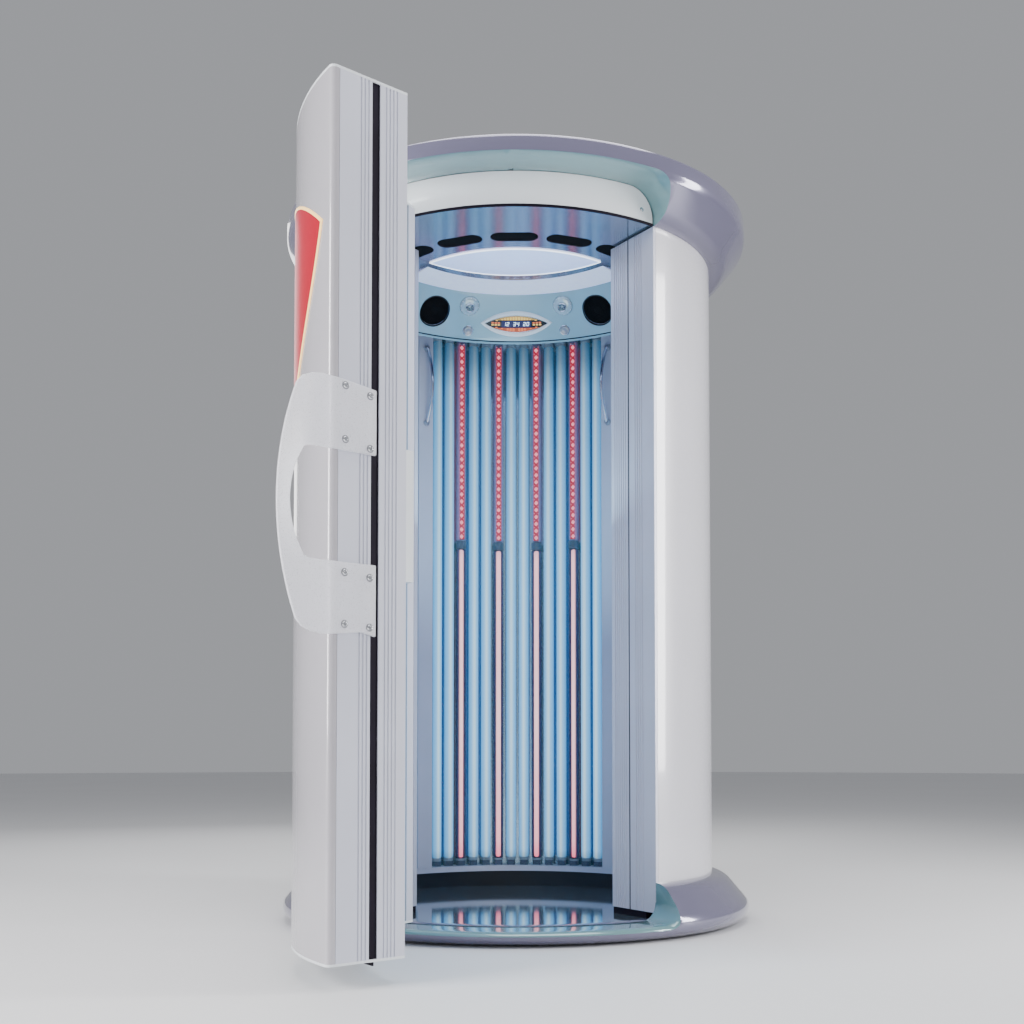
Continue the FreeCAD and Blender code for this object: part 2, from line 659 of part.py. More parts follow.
def crown():
    """Crown moulding with its doorway notch, roof, exhaust and header."""
    whole = swept_round("crown_whole", ROUND, flare(True))
    back = "-Sizes.moulding_wall - Sizes.fit_gap"
    notch_top = "Plan.crown_top - Sizes.rim_band"
    notch = swept("notch", "front", box_corners(
        back, "2 * Sizes.flare_reach", "Sizes.seam_height - Sizes.fit_gap", notch_top))
    round_ends(notch, "notch_corners", notch_top, "Sizes.notch_corner")
    band = swept("band_hollow", "front", box_corners(
        back, "Sizes.flare_reach - Sizes.moulding_wall",
        f"{notch_top} + Sizes.moulding_wall", "Plan.roof_foot"), half=f"Sizes.blend_angle - {WEB}")
    hollow = combined("Part::MultiFuse", "crown_hollow",
                      flare_hollow("crown_hollow", True) + [notch, band])
    node(cut("crown", whole, hollow), "crown_shell")

    roof = new_body("roof", at(z="Plan.roof_foot"))
    sketch = new_sketch(roof, "roof_outline")
    oval(sketch, "-Sizes.panel_wall")
    circle(sketch, "0", "Sizes.duct_y", "Plan.fan_radius")
    pad(roof, "roof_pad", sketch, "Sizes.moulding_wall")
    node(roof, "roof_cover")

    spigot = new_body("spigot", at(0, "Sizes.duct_y", "Plan.crown_top"))
    sketch = new_sketch(spigot, "spigot_profile", "XZ_Plane")
    inner = "Plan.fan_radius"
    outline(sketch, [
        (inner, "0"), ("Sizes.duct_flange", "0"), ("Sizes.duct_flange", "Sizes.duct_wall"),
        ("Sizes.duct_radius", "Sizes.duct_wall"), ("Sizes.duct_radius", "Sizes.duct_height"),
        (inner, "Sizes.duct_height")])
    turned(spigot, "spigot_turn", sketch, "180")
    node(spigot, "exhaust_spigot")

    form_top = f"{notch_top} - Sizes.fit_gap"
    form = swept("header_form", "front", box_corners(
        back, "2 * Sizes.flare_reach", "Plan.ceiling", form_top),
        half=f"Sizes.blend_angle - {WEB} / 2")
    round_ends(form, "header_corners", form_top, "Sizes.notch_corner - Sizes.fit_gap")
    sheet = swept("header_sheet", "front", box_corners(
        "-Sizes.panel_wall", "0", "Sizes.seam_height", notch_top))
    header = common("header", sheet, form)
    node(header, "header_panel")


FAN_BLADES = 5


def fan():
    """Exhaust fan under the roof: housing with motor, and impeller."""
    foot = "Plan.roof_foot - Sizes.fan_depth"
    place = at(0, "Sizes.duct_y", foot)
    tube = new_body("fan_tube", place)
    sketch = new_sketch(tube, "fan_tube_outline")
    circle(sketch, "0", "0", "Sizes.duct_radius")
    circle(sketch, "0", "0", "Plan.fan_radius")
    pad(tube, "fan_tube_pad", sketch, "Sizes.fan_depth")
    motor = rod("fan_motor", place, "Sizes.fan_hub * 0.8", "Sizes.fan_depth * 0.3")
    struts = []
    for index in range(3):
        turn = f"{120 * index + 90}"
        start = at("Sizes.fan_hub * 0.7", "-Sizes.strut_width / 2", 0)
        spot = f"{at(0, 'Sizes.duct_y', foot, turn)} * {start}"
        struts.append(block(f"fan_strut_{index}", spot,
                            "Plan.fan_radius - Sizes.fan_hub * 0.7 + Sizes.duct_wall / 2",
                            "Sizes.strut_width", "Sizes.fan_depth * 0.15"))
    node(combined("Part::MultiFuse", "fan_body", [tube, motor] + struts), "fan_housing")

    hub_foot = f"{foot} + Sizes.fan_depth * 0.3 + Sizes.fit_gap"
    hub = rod("fan_hub", at(0, "Sizes.duct_y", hub_foot), "Sizes.fan_hub", "Sizes.fan_depth * 0.5")
    blades = []
    for index in range(FAN_BLADES):
        turn = f"{360 / FAN_BLADES * index}"
        place = (at(0, "Sizes.duct_y", f"{hub_foot} + Sizes.fan_depth * 0.25", turn)
                 + " * placement(vector(Sizes.fan_hub * 0.8; 0; 0);"
                 " rotation(vector(1; 0; 0); Sizes.blade_pitch)) * "
                 + at(0, "-Sizes.blade_chord / 2", "-Sizes.blade_wall / 2"))
        length = "Plan.fan_radius - Sizes.fan_tip_gap - Sizes.fan_hub * 0.8 - Sizes.blade_wall"
        blades.append(block(f"fan_blade_{index}", place, length, "Sizes.blade_chord",
                            "Sizes.blade_wall"))
    node(combined("Part::MultiFuse", "fan_wheel", [hub] + blades), "fan_impeller")


# ---------------------------------------------------------------- cabin walls

def jamb_place():
    """The right end of the doorway: X outwards along the radius, Y away from the doorway."""
    return arc_place("front", "Sizes.blend_angle")


def ribs(body, name, x, count, face, inward):
    """Upright grooves in an extrusion's face, from x inwards; face is its Y, inward a sign."""
    sketch = new_sketch(body, name + "_groove")
    low, high = (face, f"{face} + {inward} * Sizes.rib_depth")
    if inward < 0:
        low, high = high, low
    outline(sketch, box_corners(f"{x} - Sizes.rib_width", x, low, high))
    made = pocket(body, name + "_cut", sketch, "3 * Sizes.seam_height", True)
    pattern = body.newObject("PartDesign::LinearPattern", name + "_row")
    pattern.Originals = [made]
    pattern.Direction = (sketch, ["H_Axis"])
    pattern.Reversed = True
    pattern.Occurrences = count
    bind(pattern, Length=f"{count - 1} * Sizes.rib_pitch")
    body.Tip = pattern
    return pattern


def jambs():
    """The two ribbed extrusions beside the doorway, with gasket and rubber foot."""
    outer = "Sizes.front_radius"
    inner = "(Sizes.front_radius - Sizes.jamb_depth)"
    # The side panel curves inwards behind the jamb's step, so the step lies that much lower.
    curve = "Sizes.jamb_width ^ 2 / 2 / Sizes.side_radius"
    step = f"(Sizes.front_radius - Sizes.panel_wall - {curve})"
    show = "(Sizes.jamb_show - Sizes.fit_gap)"
    foot = "Sizes.floor_top + Sizes.jamb_foot"
    jamb = new_body("jamb", f"{jamb_place()} * {at(z=foot)}")
    sketch = new_sketch(jamb, "jamb_outline")
    outline(sketch, [(inner, "0"), (outer, "0"), (outer, show), (step, show),
                     (step, "Sizes.jamb_width"), (inner, "Sizes.jamb_width")])
    outline(sketch, box_corners(f"{inner} + Sizes.jamb_wall", f"{step} - Sizes.jamb_wall",
                                "Sizes.jamb_wall + Sizes.rib_depth",
                                "Sizes.jamb_width - Sizes.jamb_wall"))
    pad(jamb, "jamb_pad", sketch, f"Sizes.seam_height - ({foot})")
    gasket = "Sizes.front_radius - Sizes.gasket_inset"
    sketch = new_sketch(jamb, "jamb_channel")
    outline(sketch, box_corners(f"{gasket} - Sizes.gasket_width", gasket, "0", "Sizes.jamb_wall"))
    pocket(jamb, "jamb_channel_cut", sketch, "3 * Sizes.seam_height", True)
    ribs(jamb, "jamb_outer_ribs", f"{gasket} + 6.5 * Sizes.rib_pitch - Sizes.rib_width", 4, "0", 1)
    ribs(jamb, "jamb_inner_ribs", f"{gasket} - 1.5 * Sizes.rib_pitch", 6, "0", 1)
    node(jamb, "jamb_right")
    node(mirrored("jamb_other", jamb), "jamb_left")

    strip = block("gasket", f"{jamb_place()} * "
                  + at(f"{gasket} - Sizes.gasket_width + Sizes.fit_gap / 4",
                       "Sizes.rib_depth / 2", foot),
                  "Sizes.gasket_width - Sizes.fit_gap / 2",
                  "Sizes.jamb_wall - Sizes.rib_depth / 2", f"Sizes.seam_height - ({foot})")
    margin = "Sizes.foot_margin"
    shoe = block("jamb_shoe", f"{jamb_place()} * "
                 + at(f"{inner} + {margin}", margin, "Sizes.floor_top"),
                 f"Sizes.jamb_depth - Sizes.sill_depth - 4 * {margin}",
                 f"Sizes.jamb_width - 2 * {margin}", "Sizes.jamb_foot")
    right = combined("Part::Compound", "rubbers_right", [strip, shoe])
    node(combined("Part::Compound", "rubbers", [right, mirrored("rubbers_left", right)]),
         "jamb_rubbers")


def outer_panels():
    """Side and rear panels, and the frame under the ceiling."""
    skin = box_corners("-Sizes.panel_wall", "0", "Sizes.flare_height", "Sizes.seam_height")
    show = trimmed("Sizes.jamb_show", "0")
    for arc in ("left", "right"):
        node(swept(f"skin_{arc}", arc, skin, trim=show), f"side_panel_{arc}")
    node(swept("skin_back", "back", skin), "rear_panel")


def lamp_walls():
    """Kick panel, lamp rails, reflector and acrylic screens along the cabin's wall."""
    behind_jamb = "Sizes.jamb_width + Sizes.fit_gap"
    kick = box_corners("-Sizes.kick_inset - Sizes.panel_wall / 2",
                       "-Sizes.kick_inset + Sizes.panel_wall / 2",
                       "Sizes.floor_top", "Sizes.kick_top")
    clear = trimmed(behind_jamb, "Sizes.rail_inset")
    node(swept_round("kick", CABIN, kick, trim=clear), "kick_panel")
    rails = []
    for name, foot in (("low", "Sizes.kick_top"), ("high", "Plan.rail_top_foot")):
        rail = box_corners("-Sizes.rail_inset", "-Sizes.rail_inset + Sizes.rail_depth",
                           foot, f"{foot} + Sizes.rail_height")
        rails.append(swept_round(f"rail_{name}", CABIN, rail, trim=clear))
    node(combined("Part::Compound", "rails", rails), "lamp_rails")
    foot = "Sizes.kick_top + Sizes.rail_height"
    sheet = box_corners("-Sizes.reflector_inset", "-Sizes.reflector_inset + Sizes.sheet_wall",
                        foot, "Plan.rail_top_foot")
    node(swept_round("mirror_sheet", CABIN, sheet, trim=clear), "reflector")

    screen = box_corners("-Sizes.screen_inset - Sizes.screen_wall / 2",
                         "-Sizes.screen_inset + Sizes.screen_wall / 2", foot, "Plan.rail_top_foot")
    post = "(Sizes.post_width / 2 + Sizes.fit_gap)"
    beside_post = f"(asin({post} / (Sizes.front_radius - Sizes.screen_inset)) / 1 deg)"
    node(swept("screen_back", "back", screen, half=f"Sizes.blend_angle - {beside_post}"),
         "acrylic_back")
    # The side screens keep clear of the jamb at one end and of the post at the other.
    near = trimmed(behind_jamb, "Sizes.rail_inset")
    far = trimmed(post, "Sizes.rail_inset")
    for arc, side in (("left", -1), ("right", 1)):
        node(swept(f"screen_{arc}", arc, screen, half=f"Plan.side_angle - ({near} + {far}) / 2",
                   turn=f"{side} * ({near} - {far}) / 2"), f"acrylic_{arc}")

    posts = []
    for side in (-1, 1):
        place = (arc_place("back", f"{side} * Sizes.blend_angle") + " * "
                 + at("Sizes.front_radius - Sizes.screen_inset - Sizes.post_depth / 2",
                      "-Sizes.post_width / 2", foot))
        posts.append(block(f"post_{side + 1}", place, "Sizes.post_depth", "Sizes.post_width",
                           f"Plan.rail_top_foot - ({foot})"))
    posts = node(combined("Part::Compound", "posts", posts), "cabin_posts")
    bars = combined("Part::Compound", "grab_bars", [grab_handle(side) for side in (-1, 1)])
    node(cut("grabs", bars, posts), "grab_handles")


def grab_handle(side):
    """A bowed chrome bar on a post, within reach of raised hands."""
    half, reach = "(Sizes.grab_span / 2)", "Sizes.grab_reach"
    bow = f"(({half} ^ 2 + {reach} ^ 2) / 2 / {reach})"
    place = (arc_place("back", f"{side} * Sizes.blend_angle") + " * "
             + at(f"Sizes.front_radius - Sizes.screen_inset - Sizes.post_depth / 2 + {bow} - {reach}",
                  0, f"Plan.grab_foot + {half}")
             + " * placement(vector(0; 0; 0); rotation(vector(1; 0; 0); 90))")
    name = f"grab_{side + 1}"
    body = new_body(name, place)
    sketch = new_sketch(body, name + "_section", "XZ_Plane")
    sides = 8
    outline(sketch, [(f"-{bow} + Sizes.grab_radius * cos({360 / sides * (corner + 0.5)})",
                      f"Sizes.grab_radius * sin({360 / sides * (corner + 0.5)})")
                     for corner in range(sides)])
    turned(body, name + "_turn", sketch, f"asin({half} / {bow}) / 1 deg")
    return body


# ---------------------------------------------------------------- lamps

LAMP_COUNT = {"back": 14, "left": 14, "right": 14, "door": 11}
RED_EVERY = 3


def lamp_spot(bank, index, offset_x, offset_y, z):
    """Place of lamp column number index in a bank, moved by offsets along and across it."""
    count = LAMP_COUNT[bank]
    arc, swing, inset = (bank, "", "Sizes.lamp_inset")
    if bank == "door":
        arc, swing, inset = ("front", DOOR_SWING + " * ", "Sizes.door_lamp_inset")
    ring = f"({ARCS[arc][3]} - {inset})"
    turn = f"{index - (count - 1) / 2} * Sizes.lamp_pitch / {ring} * 180 / pi"
    if bank == "door":
        turn += " + Plan.door_shift"
    return swing + arc_place(arc, turn) + " * " + at(f"{ring} + ({offset_x})", offset_y, z)


def tube(name, place, length):
    """A lamp tube, drawn with twelve sides to keep the many lamps light."""
    made = doc.addObject("Part::Prism", name)
    made.Polygon = 12
    bind(made, Circumradius="Sizes.lamp_radius", Height=length, Placement=place)
    return made


def lamp_bank(bank, foot, head):
    """Lamps, light strips and holders of one bank, as lists by kind."""
    made = {"uv": [], "led": [], "collagen": [], "holder": []}
    half = "-Sizes.holder_width / 2"
    for index in range(LAMP_COUNT[bank]):
        name = f"{bank}_{index}"
        for end, z in (("foot", f"{foot} - Sizes.holder_height"), ("head", head)):
            made["holder"].append(block(
                f"holder_{end}_{name}", lamp_spot(bank, index, half, half, z),
                "Sizes.holder_width", "Sizes.holder_width", "Sizes.holder_height"))
        if index % RED_EVERY != RED_EVERY - 1:
            made["uv"].append(tube(f"uv_{name}", lamp_spot(bank, index, 0, 0, foot),
                                   f"{head} - ({foot})"))
            continue
        cap = "Plan.led_foot - 1.5 * Sizes.holder_height"
        made["collagen"].append(tube(f"collagen_{name}", lamp_spot(bank, index, 0, 0, foot),
                                     f"{cap} - ({foot})"))
        made["holder"].append(block(
            f"cap_{name}", lamp_spot(bank, index, half, half, cap), "Sizes.holder_width",
            "Sizes.holder_width", "1.5 * Sizes.holder_height"))
        made["led"].append(block(
            f"led_{name}", lamp_spot(bank, index, "-Sizes.led_depth / 2", "-Sizes.led_width / 2",
                                     "Plan.led_foot"),
            "Sizes.led_depth", "Sizes.led_width", f"{head} - Plan.led_foot"))
    return made


def lamps():
    """All lamps: those of the cabin's three banks and those of the door."""
    cabin = {}
    for bank in ("back", "left", "right"):
        for kind, parts in lamp_bank(bank, "Plan.lamp_foot", "Plan.lamp_head").items():
            cabin.setdefault(kind, []).extend(parts)
    door = lamp_bank("door", "(Plan.door_foot + Sizes.holder_height)",
                     "(Plan.door_head - Sizes.holder_height)")
    for parts, prefix in ((cabin, ""), (door, "door_")):
        node(combined("Part::Compound", prefix + "uv", parts["uv"]), prefix + "uv_lamps")
        node(combined("Part::Compound", prefix + "led", parts["led"]), prefix + "red_light_strips")
        node(combined("Part::Compound", prefix + "red", parts["collagen"]),
             prefix + "collagen_lamps")
        node(combined("Part::Compound", prefix + "holders", parts["holder"]),
             prefix + "lamp_holders")


# ---------------------------------------------------------------- ceiling and control panel

def lens_outline(sketch, length, width, grow="0"):
    """A pointed oval of two arcs about the origin."""
    half = f"({length} / 2 + ({grow}))"
    rise = f"({width} / 2 + ({grow}))"
    bow = f"(({half} ^ 2 + {rise} ^ 2) / (2 * {rise}))"
    outline(sketch, [(f"-{half}", "0"), (half, "0")], {0: (bow, 1), 1: (bow, 1)})


SLOT_COUNT = 5


def ceiling():
    """Ceiling sheet with its air slots, light and moulding."""
    sheet = new_body("ceiling", at(z="Plan.ceiling"))
    sketch = new_sketch(sheet, "ceiling_outline")
    oval(sketch, "-Sizes.panel_wall")
    pad(sheet, "ceiling_pad", sketch, "Sizes.roof_sheet")
    for index in range(SLOT_COUNT):
        turn = f"({index - (SLOT_COUNT - 1) / 2} * Sizes.slot_step - 90)"
        across = "(Sizes.slot_width / 2)"
        along = "(Sizes.slot_length / 2 - Sizes.slot_width / 2)"

        def spot(x, y):
            """A point of the slot's own frame, in the sketch's."""
            return (f"(Sizes.slot_radius + {x}) * cos({turn}) - ({y}) * sin({turn})",
                    f"Plan.front_y + (Sizes.slot_radius + {x}) * sin({turn})"
                    f" + ({y}) * cos({turn})")

        sketch = new_sketch(sheet, f"slot_{index}")
        corners = [spot(f"-{across}", f"-{along}"), spot(across, f"-{along}"),
                   spot(across, along), spot(f"-{across}", along)]
        # A half circle has its radius from its chord, so it is drawn a hair flatter.
        bend = f"{across} * 1.001"
        outline(sketch, corners, {0: (bend, 1), 2: (bend, 1)})
        pocket(sheet, f"slot_{index}_cut", sketch, "2 * Sizes.roof_sheet", True)
    node(sheet, "ceiling_panel")

    light = new_body("light", at(0, "Sizes.lens_y", "Plan.ceiling - Sizes.lens_depth"))
    sketch = new_sketch(light, "light_outline")
    lens_outline(sketch, "Sizes.lens_length", "Sizes.lens_width")
    pad(light, "light_pad", sketch, "Sizes.lens_depth")
    node(light, "ceiling_light")

    cove = new_body("cove", at(0, "-Sizes.panel_axis", 0, 90))
    sketch = new_sketch(cove, "cove_profile", "XZ_Plane")
    outer = "Sizes.panel_radius - Sizes.fit_gap"
    inner = f"{outer} - Sizes.cove_width"
    outline(sketch, [(inner, "Plan.ceiling"), (outer, "Plan.ceiling - Sizes.cove_depth"),
                     (outer, "Plan.ceiling")])
    turned(cove, "cove_turn", sketch, "Sizes.panel_angle")
    node(cove, "ceiling_cove")


def panel_spot(turn, down, rise="0"):
    """A place on the control panel: Z points off its face, into the cabin."""
    return (at(0, "-Sizes.panel_axis", 0, f"90 - ({turn})") + " * "
            + tilted(f"Sizes.panel_radius + ({down}) * cos(Sizes.panel_slope)"
                     f" - ({rise}) * sin(Sizes.panel_slope)", 0,
                     f"Plan.ceiling - ({down}) * sin(Sizes.panel_slope)"
                     f" - ({rise}) * cos(Sizes.panel_slope)", "Sizes.panel_slope - 180"))


def panel_layer(name, low, high, half):
    """A layer of the sloping panel between two heights off its face."""
    body = new_body(name, at(0, "-Sizes.panel_axis", 0, 90))
    sketch = new_sketch(body, name + "_profile", "XZ_Plane")
    slope = "Sizes.panel_slope"

    def spot(down, rise):
        """A point of the panel's section, from its length and height off the face."""
        return (f"Sizes.panel_radius + ({down}) * cos({slope}) - ({rise}) * sin({slope})",
                f"Plan.ceiling - ({down}) * sin({slope}) - ({rise}) * cos({slope})")

    # The back of the panel's upper edge just meets the ceiling.
    start = f"Sizes.panel_skin / tan({slope})"
    outline(sketch, [spot(start, high), spot("Sizes.panel_length", high),
                     spot("Sizes.panel_length", low), spot(start, low)])
    turned(body, name + "_turn", sketch, half)
    return body


def panel_hole(name, turn, down, radius):
    """A drill through the control panel."""
    depth = "(6 * Sizes.panel_skin)"
    return rod(name, panel_spot(turn, down, f"-{depth} / 2"), radius, depth)


def oval_drill(name, length, width, grow):
    """A pointed oval drill through the middle of the control panel."""
    depth = "(12 * Sizes.panel_skin)"
    place = panel_spot("0", "Sizes.bezel_down", f"-{depth} / 2")
    body = new_body(name, place + " * " + at(turn=90))
    sketch = new_sketch(body, name + "_outline")
    lens_outline(sketch, length, width, grow)
    pad(body, name + "_pad", sketch, depth)
    return body


def control_panel():
    """The hollow sloping panel over the user's head, and what is set into it."""
    skin = panel_layer("panel_skin", "-Sizes.panel_skin", "0", "Sizes.panel_angle")
    holes = []
    for side in (-1, 1):
        holes += [
            panel_hole(f"speaker_hole_{side + 1}", f"{side} * Sizes.speaker_turn",
                       "Sizes.panel_length / 2", "Sizes.speaker_radius"),
            panel_hole(f"nozzle_hole_{side + 1}", f"{side} * Sizes.nozzle_turn",
                       "Sizes.nozzle_down", "Sizes.nozzle_radius + Sizes.slide_gap"),
            panel_hole(f"button_hole_{side + 1}", f"{side} * Sizes.button_turn",
                       "Sizes.button_down", "Sizes.button_radius + Sizes.slide_gap")]
    drill = oval_drill("display_hole", "Sizes.display_length", "Sizes.display_width", "0")
    panel = cut("panel_cut", skin, combined("Part::MultiFuse", "panel_holes", holes + [drill]))
    node(panel, "control_panel")

    rim = panel_layer("bezel_layer", "0", "Sizes.bezel_rise", "Sizes.panel_angle / 2")
    whole = common("bezel_whole", rim, oval_drill(
        "bezel_form", "Sizes.bezel_length", "Sizes.bezel_width", "0"))
    drill = oval_drill("bezel_hole", "Sizes.display_length", "Sizes.display_width",
                       "-Sizes.bezel_lap")
    node(cut("bezel", whole, drill), "display_bezel")
    layer = panel_layer("window_layer", "-Sizes.panel_skin", "0", "Sizes.panel_angle / 2")
    window = common("window", layer, oval_drill(
        "window_form", "Sizes.display_length", "Sizes.display_width", "0"))
    node(window, "display_window")

    cones = []
    for side in (-1, 1):
        place = panel_spot(f"{side} * Sizes.speaker_turn", "Sizes.panel_length / 2",
                           "-3 * Sizes.panel_skin")
        cones.append(rod(f"speaker_{side + 1}", place, "Sizes.speaker_radius",
                         "2.5 * Sizes.panel_skin"))
    node(combined("Part::Compound", "speakers", cones), "speakers")

    for side, name in ((-1, "left"), (1, "right")):
        place = panel_spot(f"{side} * Sizes.nozzle_turn", "Sizes.nozzle_down",
                           "-2 * Sizes.panel_skin")
        nozzle = new_body(f"nozzle_{name}", place)
        sketch = new_sketch(nozzle, f"nozzle_{name}_profile", "XZ_Plane")
        rim, mouth, wall = "Sizes.nozzle_radius", "Sizes.nozzle_mouth", "Sizes.panel_skin"
        outline(sketch, [(mouth, "0"), (rim, "0"), (rim, f"2.5 * {wall}"),
                         (f"{rim} * 0.75", f"4 * {wall}"), (f"{mouth} + 2", f"4.8 * {wall}"),
                         (mouth, f"4.8 * {wall}")])
        turned(nozzle, f"nozzle_{name}_turn", sketch, "180")
        node(nozzle, f"air_nozzle_{name}")

        place = panel_spot(f"{side} * Sizes.button_turn", "Sizes.button_down",
                           "-2 * Sizes.panel_skin")
        button = new_body(f"button_{name}", place)
        sketch = new_sketch(button, f"button_{name}_profile", "XZ_Plane")
        rim, top = "Sizes.button_radius", "2 * Sizes.panel_skin + Sizes.button_rise"
        bevel = "Sizes.button_rise / 3"
        outline(sketch, [("0", "0"), (rim, "0"), (rim, f"{top} - {bevel}"),
                         (f"{rim} - {bevel}", top), ("0", top)])
        turned(button, f"button_{name}_turn", sketch, "180")
        node(button, f"push_button_{name}")


BALLAST_COUNT = 5


def ballasts():
    """Lamp ballasts on the ceiling sheet, to both sides of the fan."""
    row = []
    for side in (-1, 1):
        for index in range(BALLAST_COUNT):
            x = f"{side} * Sizes.ballast_x - Sizes.ballast_length / 2"
            y = f"{index - 1} * Sizes.ballast_pitch"
            row.append(block(f"ballast_{side + 1}_{index}",
                             at(x, y, "Plan.ceiling + Sizes.roof_sheet"), "Sizes.ballast_length",
                             "Sizes.ballast_width", "Sizes.ballast_height"))
    node(combined("Part::Compound", "ballast_rows", row), "lamp_ballasts")


# ---------------------------------------------------------------- hinges and door

HINGES = range(3)


def hinge_frame(z):
    """A hinge's axis at a height, with X outwards from the side panel."""
    return at("Plan.hinge_x", "Plan.hinge_y", z, "(180 + Plan.hinge_turn)")


def door_leaf(name, low, height):
    """The door's leaf: flat on the shell, and stepped out where it passes over the jamb."""
    def run(part, start, first, last):
        """One run of the leaf, between two angles left of the middle of the doorway."""
        profile = box_corners(start, "Sizes.leaf_wall + Sizes.fit_gap", low, f"{low} + {height}")
        return swept(f"{name}_{part}", "front", profile, swing=DOOR_SWING + " * ",
                     half=f"(({first}) - ({last})) / 2", turn=f"-(({first}) + ({last})) / 2")

    def inside(length):
        """Angle of a line this far inside the door's hinged edge."""
        return (f"Plan.door_half - Plan.door_shift"
                f" - ({length}) / Sizes.front_radius * 180 / pi")

    flat = run("flat", "0", inside("Sizes.door_round"), inside("Sizes.leaf_length"))
    step = run("step", "Sizes.fit_gap", "Plan.pin_turn",
               inside("Sizes.door_round + Sizes.leaf_wall"))
    return [flat, step]


def hinges():
    """Three lift-off hinges at the left: fixed leaves with pins, and the door's leaves."""
    fixed, pins, moving = [], [], []
    half = "(Sizes.hinge_height / 2 - Sizes.fit_gap / 4)"
    reach = "Sizes.leaf_length / 2 / Sizes.side_radius * 180 / pi"
    for index in HINGES:
        low = f"(Sizes.hinge_low + {index} * Sizes.hinge_step - Sizes.hinge_height / 2)"
        high = f"({low} + Sizes.hinge_height - {half})"
        ring = rod(f"knuckle_{index}", hinge_frame(low), "Sizes.knuckle_radius", half)
        leaf = swept(f"leaf_{index}", "left", box_corners(
            "0", "Sizes.leaf_wall", low, f"{low} + {half}"),
            half=reach, turn=f"Plan.hinge_turn - {reach}")
        whole = combined("Part::MultiFuse", f"fixed_{index}", [ring, leaf])
        bore = rod(f"fixed_bore_{index}", hinge_frame(low), "Sizes.pin_radius", half)
        fixed.append(cut(f"fixed_leaf_{index}", whole, bore))
        pins.append(rod(f"pin_{index}", hinge_frame(low), "Sizes.pin_radius", "Sizes.hinge_height"))
        ring = rod(f"door_knuckle_{index}", DOOR_SWING + " * " + hinge_frame(high),
                   "Sizes.knuckle_radius", half)
        leaf = door_leaf(f"door_leaf_{index}", high, half)
        whole = combined("Part::MultiFuse", f"moving_{index}", [ring] + leaf)
        bore = rod(f"moving_bore_{index}", DOOR_SWING + " * " + hinge_frame(high),
                   "Sizes.bore_radius", half)
        moving.append(cut(f"moving_leaf_{index}", whole, bore))
    node(combined("Part::Compound", "fixed_leaves", fixed), "hinge_brackets")
    node(combined("Part::Compound", "pins", pins), "hinge_pins")
    return moving


def door_edge(side, x="0", y="0", z="0"):
    """A place at the door's free edge (side 1) or hinged edge (side -1).

    X points outwards along the radius, and Y away from the hinged edge.
    """
    turn = f"Plan.door_shift + {side} * Plan.door_half"
    return DOOR_SWING + " * " + arc_place("front", turn) + " * " + at(x, y, z)


def door_arc(name, profile, clear="0"):
    """A profile along the door's arc; clear is the width kept free at each edge."""
    return swept(name, "front", profile, swing=DOOR_SWING + " * ",
                 half=f"Plan.door_half - {clear}", turn="Plan.door_shift")


def edge_extrusion(side, name, label):
    """The ribbed aluminium extrusion along an edge of the door, with the seal's channel."""
    body = new_body(name, door_edge(side, z="Plan.door_foot"))
    outer = "Sizes.front_radius - Sizes.door_return - Sizes.fit_gap"
    inner = "Sizes.front_radius - Sizes.door_depth"
    seal = "Sizes.front_radius - Sizes.seal_inset"
    deep = f"{-side} * Sizes.edge_width"
    wall = f"{-side} * Sizes.edge_wall"

    def rectangle(x0, x1, y0, y1):
        """Corners of a rectangle whose Y runs into the door."""
        return box_corners(x0, x1, y0, y1) if side < 0 else box_corners(x0, x1, y1, y0)

    sketch = new_sketch(body, name + "_outline")
    outline(sketch, rectangle(inner, outer, "0", deep))
    outline(sketch, rectangle(f"{inner} + Sizes.edge_wall", f"{outer} - Sizes.edge_wall",
                              f"{-side} * Sizes.seal_depth + {wall}", f"{deep} - ({wall})"))
    pad(body, name + "_pad", sketch, "Plan.door_height")
    sketch = new_sketch(body, name + "_channel")
    outline(sketch, rectangle(f"{seal} - Sizes.seal_width", seal, "0",
                              f"{-side} * Sizes.seal_depth"))
    pocket(body, name + "_channel_cut", sketch, "Plan.door_height", True)
    ribs(body, name + "_outer", f"{seal} + 3.2 * Sizes.rib_pitch", 3, "0", -side)
    ribs(body, name + "_inner", f"{seal} - Sizes.seal_width - 1.5 * Sizes.rib_pitch", 4, "0", -side)
    return node(body, label)


